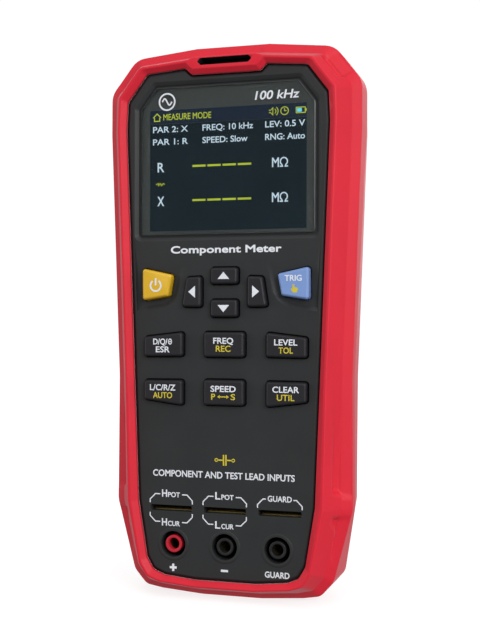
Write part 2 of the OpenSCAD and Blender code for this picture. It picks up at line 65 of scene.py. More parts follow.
# ---- driving sizes, from the frame
boot_low, boot_high = box_mm("boot")
FRONT_Y = boot_low.y
BACK_Y = boot_high.y
TOP_Z = boot_high.z
PANEL_Y = FRONT_Y + 2.2
LIP_Y = PANEL_Y - 0.6
BEVEL_Y = PANEL_Y + 5.6
CREASE_Y = PANEL_Y + 8.3
WALL_IN_Y = PANEL_Y + 2.6
CASE_BACK_Y = BACK_Y - 2.7
POCKET_Y = BACK_Y - 5.4
SPLIT_Y = box_mm("rear_case")[0].y
CREASE_GROWTH = 9.3
HALF_TOP = boot_high.x - CREASE_GROWTH
HALF_WAIST = HALF_TOP - 3.3
HALF_KNEE = HALF_TOP - 5.0
PANEL_TOP = TOP_Z - 8.8
PANEL_FOOT = 6.75
WAIST_Z = 78
KNEE_Z = 34
TAB_DROP = 2.4
KEY_NODES = [n for n in frame["nodes"] if n.startswith("key_")]


def centre_of(points):
    return sum(points, Vector((0, 0))) / len(points)


def front_corners(node):
    """Corners of a CAD node's front face as (x, z), turning counter-clockwise seen from the front."""
    points = [v.co / MM for v in frame["nodes"][node].data.vertices]
    front = min(p.y for p in points)
    flat = {(round(p.x, 3), round(p.z, 3)) for p in points if p.y < front + 0.01}
    corners = [Vector(p) for p in flat]
    centre = centre_of(corners)
    return sorted(corners, key=lambda p: math.atan2(*(p - centre).yx))


# ---- outlines in (x, z)
def arc_points(before, here, after, radius, steps):
    """A corner turned into an arc of the radius given, or less where its sides are short."""
    a, b = before - here, after - here
    half = max(a.angle(b) / 2, 0.01)
    reach = min(radius / math.tan(half), 0.46 * a.length, 0.46 * b.length)
    start, end = here + a.normalized() * reach, here + b.normalized() * reach
    weight = math.sin(half)
    points = []
    for i in range(steps + 1):
        t = i / steps
        w0, w1, w2 = (1 - t) ** 2, 2 * weight * t * (1 - t), t * t
        points.append((start * w0 + here * w1 + end * w2) / (w0 + w1 + w2))
    return points


def corner_arcs(corners, radii, steps):
    """Every corner of a closed outline turned into an arc; a corner of radius 0 stays a point."""
    around = zip(corners[-1:] + corners, corners, corners[1:] + corners[:1], radii)
    return [arc_points(a, here, b, r, steps) if r else [here] for a, here, b, r in around]


def rounded(corners, radius, steps):
    """Closed outline with every corner rounded; radius is one number or one for each corner."""
    radii = radius if isinstance(radius, list) else [radius] * len(corners)
    arcs = corner_arcs([Vector(c) for c in corners], radii, steps)
    return [p for arc in arcs for p in arc]


def joined(arcs, cuts):
    """The arcs in turn as a closed row, with the side after each cut into so many spans."""
    out = []
    for arc, after, spans in zip(arcs, arcs[1:] + arcs[:1], cuts):
        out += arc
        out += [arc[-1].lerp(after[0], k / spans) for k in range(1, spans)]
    return out


def circle(x, z, r, count=48):
    turns = [2 * math.pi * i / count for i in range(count)]
    return [Vector((x + r * math.cos(t), z + r * math.sin(t))) for t in turns]


def rectangle(x0, x1, z0, z1, radius=0.3, steps=4):
    return rounded([(x0, z0), (x1, z0), (x1, z1), (x0, z1)], radius, steps)


def area(loop):
    return sum(a.x * b.y - b.x * a.y for a, b in zip(loop, loop[1:] + loop[:1])) / 2


def push(loop, distance):
    """The loop moved by distance to the right of its own direction."""
    moved = []
    for i, here in enumerate(loop):
        a = (here - loop[i - 1]).normalized()
        b = (loop[(i + 1) % len(loop)] - here).normalized()
        normal = Vector((a.y + b.y, -a.x - b.x))
        if normal.length < 1e-6:
            normal = Vector((a.y, -a.x))
        normal.normalize()
        stretch = 1 / max(0.5, normal.dot(Vector((a.y, -a.x))))
        moved.append(here + normal * distance * stretch)
    return moved


def offset(loop, distance):
    """The loop moved outwards by distance, at right angles to its sides."""
    return push(loop, distance if area(loop) > 0 else -distance)


def simplified(loop):
    """The loop without the points that lie in the middle of its straight sides."""
    kept = []
    for i, here in enumerate(loop):
        a = here - (kept[-1] if kept else loop[i - 1])
        b = loop[(i + 1) % len(loop)] - here
        if a.length > 1e-4 and abs(a.normalized().cross(b.normalized())) > 0.004:
            kept.append(here)
    return kept


def turns_round(point, loops):
    """How many times the loops wind round a point; nothing outside, more where they overlap."""
    count = 0
    for loop in loops:
        for a, b in zip(loop, loop[1:] + loop[:1]):
            if (a.y > point.y) != (b.y > point.y):
                if point.x < (b.x - a.x) * (point.y - a.y) / (b.y - a.y) + a.x:
                    count += 1 if b.y > a.y else -1
    return count


def inside(point, loop):
    return turns_round(point, [loop]) != 0


def smooth_step(t):
    t = max(0.0, min(1.0, t))
    return t * t * (3 - 2 * t)


def mirrored(half):
    return half + [Vector((-p.x, p.y)) for p in reversed(half)]


def half_ring(side, top, foot, tab):
    """Right half of an outline parallel to the panel opening, grown by side, top and foot."""
    pinch = 0.47 * min(side, 3)
    corners = [
        (12.5 - pinch, PANEL_TOP + top - tab),
        (15 - pinch, PANEL_TOP + top),
        (29.5 + 0.8 * side, PANEL_TOP - 1.2 + 0.87 * top),
        (HALF_TOP - 0.5 + 1.05 * side, PANEL_TOP - 10.9 + 0.55 * top),
        (HALF_TOP + side, PANEL_TOP - 21),
        (HALF_WAIST + side, WAIST_Z),
        (HALF_KNEE + 1.22 * side, KNEE_Z - 0.2 * foot),
        (29.1 + 0.85 * side, PANEL_FOOT + 7.05 - 0.95 * foot),
        (26.6 + 0.63 * side, PANEL_FOOT + 2.85 - 1.1 * foot),
        (22.5 + 0.4 * side, PANEL_FOOT + 1.15 - foot),
        (11, PANEL_FOOT - foot),
    ]
    return [Vector(p) for p in corners]


# Sides of the half outline are cut into this many spans, finest beside the pockets and scoops
SIDE_CUTS = [3, 8, 30, 6, 24, 60, 26, 3, 3, 5, 6]
TOP_CUTS = 14
CORNER_STEPS = 4


def ring(side, top, foot, tab=0.0, soft=1.0):
    """The whole outline with rounded corners and an equal number of points at every growth."""
    grow = max(side, 0)
    half_radii = [0.9, 0.9, 2 + 0.4 * grow, 2 + 0.4 * grow, 8, 30, 3 + 0.6 * grow, 4, 3, 6, 20]
    radii = [r * soft for r in half_radii + half_radii[::-1]]
    arcs = corner_arcs(mirrored(half_ring(side, top, foot, tab)), radii, CORNER_STEPS)
    return joined(arcs, SIDE_CUTS + SIDE_CUTS[-2::-1] + [TOP_CUTS])


# ---- shapes and objects
def at(loop, y):
    """The loop's points in an upright plane at depth y."""
    return [(p.x, y, p.y) for p in loop]


def level(loop, z):
    """The loop's points in a level plane at height z."""
    return [(p.x, p.y, z) for p in loop]


def loop_edges(start, count):
    return [(start + i, start + (i + 1) % count) for i in range(count)]


def triangles(points, edges):
    """Triangles that keep the edges given: all points, and (triangle, its middle) pairs."""
    made = delaunay_2d_cdt(points, edges, [], 0, 1e-5)
    return made[0], [(f, centre_of([made[0][i] for i in f])) for f in made[2]]


class Shape:
    """Points in millimetres and faces, gathered before they become one object. Each face has a
    material number."""

    def __init__(self):
        self.points = []
        self.faces = []
        self.paints = []

    def add(self, points, faces, paint=0):
        start = len(self.points)
        self.points += [Vector(p) for p in points]
        self.faces += [tuple(start + i for i in f) for f in faces]
        self.paints += [paint] * len(faces)

    def loft(self, rings, closed=False, caps=True, paint=0):
        """Skin between rings of equal length; open ends are capped unless caps is False."""
        n, m = len(rings[0]), len(rings)
        faces = []
        for i in range(m if closed else m - 1):
            up = (i + 1) % m
            faces += [(i * n + j, i * n + k, up * n + k, up * n + j) for j, k in loop_edges(0, n)]
        if caps and not closed:
            faces.append(tuple(range(n - 1, -1, -1)))
            faces.append(tuple((m - 1) * n + j for j in range(n)))
        self.add([p for r in rings for p in r], faces, paint)

    def walls(self, levels):
        """A closed wall that follows the panel's outline; levels are (growth, y)."""
        self.loft([at(ring(*growth), y) for growth, y in levels], closed=True)

    def stack(self, loop, levels):
        """An upright body over a loop in (x, y); levels are (offset, z)."""
        self.loft([level(offset(loop, o), z) for o, z in levels])

    def lathe(self, profile, place, count, axis="Y", closed=False, paint=0):
        """Turns (radius, distance along the axis) points round the axis through place."""
        rings = []
        for r, along in profile:
            loop = circle(*place, r, count)
            rings.append(at(loop, along) if axis == "Y" else [(along, *p) for p in loop])
        self.loft(rings, closed=closed, paint=paint)

    def fill(self, outline, holes, height, inner=(), lines=()):
        """Flat or relieved face between an outline and holes; height(p) gives each point's y."""
        flat, edges = [], []
        for loop in (outline, *holes):
            edges += loop_edges(len(flat), len(loop))
            flat += loop
        for line in lines:
            edges += loop_edges(len(flat), len(line))[:-1]
            flat += line
        spots, made = triangles(flat + list(inner), edges)
        kept = [f for f, middle in made
                if inside(middle, outline) and not any(inside(middle, h) for h in holes)]
        self.add([(p.x, height(p), p.y) for p in spots], kept)

    def plate(self, outline, holes, face_y, back_y, edge, relief=None, inner=(), lines=(),
              edge_paint=0):
        """A solid sheet from face_y to back_y. holes are (loop, profile, floor): the profile's
        (offset, depth) points run from the face into the hole, and a floor closes the hole at
        the profile's last depth. edge is the outer edge's profile, or a rounding radius."""
        way = 1 if back_y > face_y else -1
        relief = relief or (lambda p: 0.0)
        if not isinstance(edge, list):
            edge = quarter_round(-edge, edge)
        faces_at, backs_at = [], []
        for loop, profile, floor in [(outline, edge, False), *holes]:
            loop = simplified(loop)
            rings = [[(p.x, face_y + way * (relief(p) + d), p.y) for p in offset(loop, o)]
                     for o, d in profile]
            faces_at.append(offset(loop, profile[0][0]))
            end = offset(loop, profile[-1][0])
            if floor:
                depth = face_y + way * profile[-1][1]
                self.loft(rings, caps=False)
                self.fill(end, [], lambda p: depth)
            else:
                paint = 0 if backs_at else edge_paint
                self.loft([*rings, at(end, back_y)], caps=False, paint=paint)
                backs_at.append(end)
        self.fill(faces_at[0], faces_at[1:], lambda p: face_y + way * relief(p), inner, lines)
        self.fill(backs_at[0], backs_at[1:], lambda p: back_y)


def quarter_round(offset_from, radius, steps=3):
    """Profile of a rounded edge: from offset_from at the face to nothing at depth radius."""
    turns = [math.pi / 2 * i / steps for i in range(steps + 1)]
    return [(offset_from * (1 - math.sin(t)), abs(radius) * (1 - math.cos(t))) for t in turns]


def turn_outwards(work):
    """Flips each closed part of a mesh whose faces look inwards."""
    seen = set()
    for first in work.faces:
        if first in seen:
            continue
        seen.add(first)
        part = [first]
        for face in part:
            for edge in face.edges:
                for other in edge.link_faces:
                    if other not in seen:
                        seen.add(other)
                        part.append(other)
        centre = first.verts[0].co.copy()
        volume = sum((f.verts[0].co - centre).dot(f.normal) * f.calc_area() for f in part)
        if volume < 0:
            bmesh.ops.reverse_faces(work, faces=part)


def soften(piece, sharp):
    """Smooth shading up to the sharp angle, led by the larger faces."""
    piece.data.set_sharp_from_angle(angle=math.radians(sharp))
    piece.modifiers.new("soft", "WEIGHTED_NORMAL").keep_sharp = True


def make(name, shape, materials, body="housing", replaces=(), sharp=32):
    """The one way a piece is made: welded, with outward normals, smooth up to the sharp angle."""
    mesh = bpy.data.meshes.new(name)
    mesh.from_pydata([p * MM for p in shape.points], [], shape.faces)
    for material in materials:
        mesh.materials.append(material)
    mesh.polygons.foreach_set("material_index", shape.paints)
    work = bmesh.new()
    work.from_mesh(mesh)
    bmesh.ops.remove_doubles(work, verts=work.verts, dist=2e-6)
    bmesh.ops.recalc_face_normals(work, faces=work.faces)
    turn_outwards(work)
    work.to_mesh(mesh)
    work.free()
    mesh.shade_smooth()
    piece = bpy.data.objects.new(name, mesh)
    bpy.context.scene.collection.objects.link(piece)
    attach(piece, body)
    if replaces:
        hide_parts(*replaces)
    soften(piece, sharp)
    return piece


def cut(piece, shape, sharp, material=None):
    """Takes a closed shape out of a piece; the walls it leaves can have their own material."""
    tool = make("cutter", shape, [material or piece.data.materials[0]])
    piece.modifiers.clear()
    modifier = piece.modifiers.new("cut", "BOOLEAN")
    modifier.operation = "DIFFERENCE"
    modifier.solver = "EXACT"
    modifier.material_mode = "TRANSFER"
    modifier.object = tool
    bpy.context.view_layer.update()
    graph = bpy.context.evaluated_depsgraph_get()
    mesh = bpy.data.meshes.new_from_object(piece.evaluated_get(graph))
    piece.modifiers.clear()
    piece.data = mesh
    soften(piece, sharp)
    bpy.data.objects.remove(tool)


# ---- materials
def set_values(node, values):
    for socket, value in (values or {}).items():
        node.inputs[socket].default_value = value


def add_node(tree, kind, values=None):
    node = tree.nodes.new("ShaderNode" + kind)
    set_values(node, values)
    return node


def new_material(name, values):
    """A material, its node tree and its shader's sockets, with even values set on them."""
    material = bpy.data.materials.new(name)
    material.use_nodes = True
    shader = material.node_tree.nodes["Principled BSDF"]
    set_values(shader, values)
    return material, material.node_tree, shader.inputs


def link_noise(tree, scale, detail, stretch=None):
    """Noise in the object's own metres; stretch squeezes it along the axes."""
    source = add_node(tree, "TexCoord").outputs["Object"]
    if stretch:
        mapping = add_node(tree, "Mapping", {"Scale": stretch})
        tree.links.new(source, mapping.inputs["Vector"])
        source = mapping.outputs["Vector"]
    noise = add_node(tree, "TexNoise", {"Scale": scale, "Detail": detail})
    tree.links.new(source, noise.inputs["Vector"])
    return noise.outputs["Fac"]


def link_range(tree, source, low, high, start=0.3, end=0.7):
    limits = {"From Min": start, "From Max": end, "To Min": low, "To Max": high}
    spread = add_node(tree, "MapRange", limits)
    tree.links.new(source, spread.inputs["Value"])
    return spread.outputs["Result"]


def link_mix(tree, factor, first, second):
    """Colour mix; each side is a colour or another node's output."""
    mix = add_node(tree, "Mix")
    mix.data_type = "RGBA"
    tree.links.new(factor, mix.inputs["Factor"])
    for value, socket in ((first, mix.inputs["A"]), (second, mix.inputs["B"])):
        if isinstance(value, tuple):
            socket.default_value = (*value, 1)
        else:
            tree.links.new(value, socket)
    return mix.outputs["Result"]


def link_bump(tree, height, depth, sockets):
    """Relief on the shader, depth millimetres deep."""
    bump = add_node(tree, "Bump", {"Distance": depth * MM})
    tree.links.new(height, bump.inputs["Height"])
    tree.links.new(bump.outputs["Normal"], sockets["Normal"])


def shade(color, factor):
    return tuple(min(1.0, c * factor) for c in color)


def surface(name, color, roughness, grain, depth, blotch, vary, edge_highlight=None, fixed=None):
    """Moulded or painted surface: grain bump, slow colour drift, uneven gloss and, given an edge
    colour, a paler tone on its sharp edges that is a painted highlight. fixed holds values set on the
    shader itself."""
    material, tree, sockets = new_material(name, fixed)
    fine = link_noise(tree, grain, 2)
    drift = link_range(tree, link_noise(tree, blotch, 3), 0, 1)
    tone = link_mix(tree, drift, shade(color, 1 - vary), shade(color, 1 + vary))
    speck = link_range(tree, fine, 0, 0.35 * min(1, vary * 5), 0.35, 0.75)
    tone = link_mix(tree, speck, tone, shade(color, 1.35))
    # Sharp convex edges take the paler edge colour: a painted highlight.
    if edge_highlight:
        edge = add_node(tree, "NewGeometry").outputs["Pointiness"]
        tone = link_mix(tree, link_range(tree, edge, 0, 0.5, 0.51, 0.60), tone, edge_highlight)
    tree.links.new(tone, sockets["Base Color"])
    gloss = link_range(tree, fine, roughness - 0.05, roughness + 0.06)
    tree.links.new(gloss, sockets["Roughness"])
    link_bump(tree, fine, depth, sockets)
    return material


def metal(name, color):
    """Bare metal with a brushed gloss."""
    roughness = 0.34
    material, tree, sockets = new_material(name, {"Metallic": 1.0})
    streak = link_noise(tree, 900, 3, (1, 1, 12))
    tone = link_mix(tree, link_range(tree, streak, 0, 1), shade(color, 0.8), shade(color, 1.1))
    tree.links.new(tone, sockets["Base Color"])
    gloss = link_range(tree, streak, roughness - 0.08, roughness + 0.12)
    tree.links.new(gloss, sockets["Roughness"])
    link_bump(tree, streak, 0.004, sockets)
    return material


def glowing(name, color, strength):
    """Lit part of the display, a little uneven like a real backlight."""
    values = {"Base Color": (0.003, 0.003, 0.003, 1), "Roughness": 0.3,
              "Specular IOR Level": 0.02, "Emission Strength": strength}
    material, tree, sockets = new_material(name, values)
    uneven = link_range(tree, link_noise(tree, 45, 2), 0, 1)
    tone = link_mix(tree, uneven, shade(color, 0.88), shade(color, 1.1))
    tree.links.new(tone, sockets["Emission Color"])
    return material


def light_table(name):
    """Pale floor that glows like a light table, dimmer right under the meter as a painted contact
    shadow.
    """
    values = {"Base Color": (0.25, 0.25, 0.25, 1), "Roughness": 0.7,
              "Specular IOR Level": 0.1, "Emission Color": (1, 1, 1, 1)}
    material, tree, sockets = new_material(name, values)
    reach = add_node(tree, "VectorMath")
    reach.operation = "LENGTH"
    tree.links.new(add_node(tree, "TexCoord").outputs["Object"], reach.inputs[0])
    # The glow falls off towards the meter's foot: a painted soft shadow.
    glow_with_painted_shadow = link_range(tree, reach.outputs["Value"], 0.80, 0.98, 0.04, 0.35)
    tree.links.new(glow_with_painted_shadow, sockets["Emission Strength"])
    return material


def clear_window(name):
    values = {"Base Color": (0.96, 0.98, 0.98, 1), "Transmission Weight": 1.0, "IOR": 1.08}
    material, tree, sockets = new_material(name, values)
    smudge = link_noise(tree, 120, 3)
    tree.links.new(link_range(tree, smudge, 0.0, 0.06), sockets["Roughness"])
    return material


# Finishes: roughness, grain, relief in millimetres, blotches, colour variation
INK = (0.5, 5000, 0.003, 90, 0.05)
BRIGHT_KEY = (0.44, 3000, 0.006, 80, 0.04)
DULL = {"Specular IOR Level": 0.28}
RUBBERY = {"Sheen Weight": 0.26, "Sheen Roughness": 0.32, "Sheen Tint": (1.0, 0.75, 0.78, 1),
           "Specular IOR Level": 0.22}
# The last colour of the boot and key finishes is the paler tone of their sharp edges, a painted
# highlight.
BOOT_RED = surface("boot_red", (0.555, 0.012, 0.028), 0.48, 3200, 0.010, 45, 0.05,
                   edge_highlight=(0.64, 0.05, 0.07), fixed=RUBBERY)
PANEL_GREY = surface("panel_grey", (0.018, 0.019, 0.020), 0.52, 2400, 0.016, 70, 0.08, fixed=DULL)
CASE_GREY = surface("case_grey", (0.020, 0.021, 0.022), 0.56, 1900, 0.022, 60, 0.08, fixed=DULL)
KEY_BLACK = surface("key_black", (0.010, 0.010, 0.013), 0.46, 3000, 0.006, 80, 0.06,
                    edge_highlight=(0.030, 0.030, 0.034), fixed=DULL)
KEY_YELLOW = surface("key_yellow", (0.56, 0.33, 0.012), *BRIGHT_KEY, (0.72, 0.47, 0.07), DULL)
KEY_BLUE = surface("key_blue", (0.15, 0.24, 0.48), *BRIGHT_KEY, (0.27, 0.40, 0.70), DULL)
INK_WHITE = surface("ink_white", (0.62, 0.64, 0.68), *INK, fixed=DULL)
INK_YELLOW = surface("ink_yellow", (0.52, 0.42, 0.03), *INK, fixed=DULL)
INK_BORDER = surface("ink_border", (0.028, 0.033, 0.032), 0.40, 4000, 0.002, 90, 0.05, fixed=DULL)
INK_GREY = surface("ink_grey", (0.10, 0.105, 0.11), *INK)
WINDOW = clear_window("window_clear")
WINDOW_EDGE = surface("window_edge", (0.045, 0.048, 0.052), 0.22, 4000, 0.004, 90, 0.08)
SCREEN_DARK = glowing("screen_dark", (0.008, 0.0155, 0.0208), 1.0)
SCREEN_BAR = glowing("screen_bar", (0.012, 0.020, 0.036), 1.0)
SCREEN_WHITE = glowing("screen_white", (0.66, 0.82, 0.95), 0.85)
SCREEN_LIME = glowing("screen_lime", (0.52, 0.62, 0.045), 0.80)
SCREEN_CYAN = glowing("screen_cyan", (0.16, 0.72, 0.88), 0.85)
JACK_RED = surface("jack_red", (0.40, 0.012, 0.026), 0.38, 3000, 0.005, 80, 0.05, fixed=DULL)
JACK_BLACK = surface("jack_black", (0.010, 0.010, 0.011), 0.42, 3000, 0.006, 80, 0.06, fixed=DULL)
BRASS = metal("brass", (0.50, 0.40, 0.17))
STEEL = metal("steel", (0.55, 0.56, 0.58))
COPPER_FILM = surface("copper_film", (0.42, 0.17, 0.03), 0.4, 1500, 0.004, 200, 0.12)
SILICONE = surface("silicone", (0.10, 0.105, 0.115), 0.6, 1500, 0.010, 80, 0.08)
BOARD_GREEN = surface("board_green", (0.012, 0.11, 0.035), 0.38, 1200, 0.010, 350, 0.25)
CHIP_BLACK = surface("chip_black", (0.016, 0.016, 0.018), 0.45, 2600, 0.010, 90, 0.10)
RELAY_WHITE = surface("relay_white", (0.66, 0.66, 0.60), 0.45, 2000, 0.006, 60, 0.05)
BATTERY_BLUE = surface("battery_blue", (0.03, 0.10, 0.30), 0.30, 1500, 0.004, 60, 0.08)
LABEL_GREY = surface("label_grey", (0.45, 0.46, 0.47), 0.45, 2200, 0.004, 60, 0.05)
FLOOR_PALE = light_table("floor_pale")


# ---- lettering and marks
def letter_loops(words):
    """Outlines of a line of text, outer ones turning left and inner ones turning right."""
    curve = bpy.data.curves.new("letters", "FONT")
    curve.body = words
    carrier = bpy.data.objects.new("letters", curve)
    bpy.context.scene.collection.objects.link(carrier)
    bpy.context.view_layer.update()
    outlines = carrier.to_curve(bpy.context.evaluated_depsgraph_get())
    loops = []
    for spline in outlines.splines:
        knots = list(spline.bezier_points)
        loop = []
        for here, after in zip(knots, knots[1:] + knots[:1]):
            bend = interpolate_bezier(here.co, here.handle_right, after.handle_left, after.co, 5)
            loop += [p.xy for p in bend[:-1]]
        loops.append(simplified(loop))
    carrier.to_curve_clear()
    bpy.data.objects.remove(carrier)
    bpy.data.curves.remove(curve)
    widest = max(loops, key=lambda loop: abs(area(loop)))
    return loops if area(widest) > 0 else [loop[::-1] for loop in loops]


CAP_HEIGHT = max(p.y for p in letter_loops("H")[0])


class Print:
    """Thin raised print on a face. Everything in it is one piece; paint is the ink's number."""

    def __init__(self, face_y, thick=0.05, sunk=0.02, way=-1):
        self.shape = Shape()
        self.front = face_y + way * thick
        self.back = face_y - way * sunk
        self.way = way

    def extrude(self, points, faces, paint):
        n = len(points)
        ends = at(points, self.front) + at(points, self.back)
        count = {}
        for f in faces:
            for a, b in zip(f, f[1:] + f[:1]):
                count[(a, b)] = count.get((a, b), 0) + 1
        sides = [(a, b, b + n, a + n) for (a, b) in count if (b, a) not in count]
        flipped = [tuple(n + i for i in reversed(f)) for f in faces]
        self.shape.add(ends, list(faces) + flipped + sides, paint)

    def text(self, words, x, z, cap, width, bold, lean=0.0, paint=0, align=0.5):
        """Words of the width given with their capitals' middle at z. Each outline moves out by
        bold; align is the share of the width that lies to the left of x."""
        loops = letter_loops(words)
        scale = (cap - 2 * bold) / CAP_HEIGHT
        left = min(p.x for loop in loops for p in loop)
        right = max(p.x for loop in loops for p in loop)
        wide = (width - 2 * bold) / (right - left)
        anchor = left + (right - left) * align
        placed = [
            [Vector(((p.x - anchor) * wide + lean * p.y * scale, p.y * scale)) for p in loop]
            for loop in loops
        ]
        placed = [push(loop, bold) for loop in placed]
        ends, edges = [], []
        for loop in placed:
            edges += loop_edges(len(ends), len(loop))
            ends += loop
        spots, made = triangles(ends, edges)
        kept = [f for f, middle in made if turns_round(middle, placed) > 0]
        drop = z - cap / 2 + bold
        self.extrude([Vector((x - self.way * p.x, p.y + drop)) for p in spots], kept, paint)

    def area(self, loop, holes=(), paint=0):
        flat = Shape()
        flat.fill(loop, list(holes), lambda p: 0.0)
        self.extrude([Vector((p.x, p.z)) for p in flat.points], flat.faces, paint)

    def bar(self, start, end, width, paint=0):
        start, end = Vector(start), Vector(end)
        along = (end - start).normalized()
        across = Vector((-along.y, along.x)) * width / 2
        self.area([start - across, end - across, end + across, start + across], paint=paint)

    def line(self, points, width, paint=0):
        """An open bent line of even width with mitred corners."""
        points = [Vector(p) for p in points]
        left, right = [], []
        for i, here in enumerate(points):
            a = (here - points[max(i - 1, 0)]).normalized() if i else None
            b = (points[i + 1] - here).normalized() if i + 1 < len(points) else None
            along = (a or b) + (b or a)
            across = Vector((-along.y, along.x)).normalized()
            reach = width / 2 / max(0.4, across.dot(Vector((-(a or b).y, (a or b).x))))
            left.append(here + across * reach)
            right.append(here - across * reach)
        n = len(points)
        faces = [(n + i, n + i + 1, i + 1, i) for i in range(n - 1)]
        self.extrude(left + right, faces, paint)

    def omega(self, x, z, cap, width, stroke):
        """The ohm sign."""
        foot, mid = z - cap / 2 + stroke / 2, z + 0.07 * cap
        bow = [math.radians(235 - 290 * i / 20) for i in range(21)]
        arc = [(x + 0.42 * width * math.cos(t), mid + 0.4 * cap * math.sin(t)) for t in bow]
        ends = [(x - width / 2, foot), (x - 0.17 * width, foot)]
        self.line(ends + arc + [(2 * x - a, b) for a, b in reversed(ends)], stroke)

    def theta(self, x, z, cap, width, stroke):
        """The phase angle sign."""
        turns = [2 * math.pi * i / 24 for i in range(24)]
        loop = [Vector((x + width / 2 * math.cos(t), z + cap / 2 * math.sin(t))) for t in turns]
        self.area(loop, [offset(loop, -stroke)])
        self.bar((x - width / 2 + stroke / 2, z), (x + width / 2 - stroke / 2, z), stroke)

    def hoop(self, x, z, r, width, start=0.0, end=360.0, paint=0, count=40):
        """A ring, or part of one from start to end degrees."""
        if end - start >= 360:
            self.area(circle(x, z, r + width / 2, count), [circle(x, z, r - width / 2, count)], paint)
            return
        turns = [math.radians(start + (end - start) * i / count) for i in range(count + 1)]
        self.line([(x + r * math.cos(t), z + r * math.sin(t)) for t in turns], width, paint)


# ---- boot
STYLE_LINE = 4.5


def turn_y(z):
    """Where the boot's side turns into its rear chamfer, further back at the top and foot."""
    knee, corner = KNEE_Z - 1.35, PANEL_FOOT + 0.65
    fall = max(0.0, min(1.0, (knee - z) / (knee - corner)))
    return PANEL_Y + 12.5 + 16.5 * fall + 6.5 * max(0, z - WAIST_Z) / (TOP_Z - WAIST_Z)


def boot_rings():
    """Control rings from the lip round the outside and back along the inside. Each is (outline,
    rounding, spans to the next ring); the outline's points are (x, y, z, side growth)."""
    def control(side, top, foot, y, rounding, spans, tab=0.0, soft=1.0):
        outline = ring(side, top, foot, tab, soft)
        depths = [turn_y(p.y) if y is None else y for p in outline]
        return [Vector((p.x, d, p.y, side)) for p, d in zip(outline, depths)], rounding, spans
    return [
        control(0, 0, 0, PANEL_Y + 1.0, 0, 2, TAB_DROP),
        control(0, 0, 0, LIP_Y, 0.25, 2, TAB_DROP),
        control(1.7, 1.6, 1.5, FRONT_Y + 0.05, 0.55, 2, TAB_DROP),
        control(2.5, 2.4, 2.1, FRONT_Y, 0.5, 12, -0.9),
        control(6.4, 5.0, 4.4, BEVEL_Y, 1.2, 8),
        control(9.3, 8.8, 6.75, CREASE_Y, 0.8, 6, soft=1.3),
        control(9.3, 8.8, 6.75, None, 1.4, 3, soft=1.6),
        control(6.4, 6.4, 5.4, BACK_Y - 6, 1.2, 2, soft=1.6),
        control(4.3, 4.2, 3.55, BACK_Y - 0.9, 0.6, 1, soft=1.4),
        control(2.5, 2.4, 1.95, BACK_Y, 0.5, 2),
        control(-4, -4, -4, BACK_Y, 0.6, 1),
        control(-4, -4, -4, BACK_Y - 2.45, 0, 1),
        control(1.85, 1.85, 1.45, BACK_Y - 2.45, 0, 1),
        control(3.9, 3.7, 2.9, CASE_BACK_Y - 4, 0, 1),
        control(6.5, 6.1, 4.2, 2, 0, 1),
        control(6.5, 6.1, 4.2, PANEL_Y + 9.95, 0, 1),
        control(3.9, 3.3, 2.9, PANEL_Y + 5.55, 0, 1),
        control(1.7, 1.5, 1.3, PANEL_Y + 1.0, 0, 1),
    ]


def scoop_depth(p):
    """Depth of the corner pockets and side scoops at a point of the boot's front bevel. p is
    (x, y, z, side growth). Each starts at a wall on the style line and runs out at the crease."""
    x, z, growth = abs(p[0]), p[2], p[3]
    line, depth = STYLE_LINE, 0.0
    along = (x - 33.4) * 0.613 - (z - (PANEL_TOP + 1.8)) * 0.790
    if z > WAIST_Z + 80:
        depth = 1.9 * smooth_step(along / 0.5) * (1 - smooth_step((along - 9.3) / 1.4))
    elif z > KNEE_Z:
        end = KNEE_Z + 4.4 - 0.65 * max(0, growth - line)
        depth = 1.7 * smooth_step((WAIST_Z - z) / 38) * smooth_step((z - end) / 2.2)
    else:
        fall = max(0.0, KNEE_Z - 4.5 - z)
        line = STYLE_LINE + 0.2 + 0.18 * fall
        depth = 1.4 * max(0.0, 1 - fall / 17) * smooth_step((KNEE_Z - 3.3 - z) / 0.9)
    if growth < line or depth <= 0 or p[1] > CREASE_Y + 0.2:
        return 0.0
    rest = max(0.0, (CREASE_GROWTH - growth) / (CREASE_GROWTH - line))
    return depth * smooth_step((growth - line) / 0.4) * rest


def scooped(grid, j, i):
    """A point of the boot's skin, moved inwards where a pocket or scoop lies."""
    section, p = grid[j], grid[j][i]
    depth = scoop_depth(p)
    if not depth:
        return p.xyz
    ahead, behind = grid[(j + 1) % len(grid)][i], grid[j - 1][i]
    up, down = section[(i + 1) % len(section)], section[i - 1]
    normal = (up.xyz - down.xyz).cross(ahead.xyz - behind.xyz).normalized()
    if normal.dot(Vector((math.copysign(1, p.x), -1, 0))) < 0:
        normal = -normal
    return p.xyz - normal * depth


def boot_shell():
    outlines, roundings, spans = zip(*boot_rings())
    grid = [joined(corner_arcs(list(section), roundings, 3), spans) for section in zip(*outlines)]
    shape = Shape()
    shape.loft([[scooped(grid, j, i) for i in range(len(grid[j]))] for j in range(len(grid))],
               closed=True)
    piece = make("boot_shell", shape, [BOOT_RED], replaces=["boot"], sharp=40)
    slot_z = PANEL_TOP + 1.6
    strap = rounded([(-8.7, slot_z - 1.25), (8.7, slot_z - 1.25), (10, slot_z), (8.7, slot_z + 1.25),
                     (-8.7, slot_z + 1.25), (-10, slot_z)], 0.35, 3)
    tool = Shape()
    tool.loft([at(strap, y) for y in (FRONT_Y - 1, PANEL_Y + 5.8)])
    low, high = box_mm("port_cover")
    port = rectangle(low.x - 0.25, high.x + 0.25, low.y - 0.35, high.y + 0.25, 0.5)
    tool.loft([level(port, z) for z in (PANEL_TOP, TOP_Z + 1)])
    # The walls of these holes in the red boot are given the dark case grey: painted shade inside the
    # holes.
    cut(piece, tool, 40, CASE_GREY)


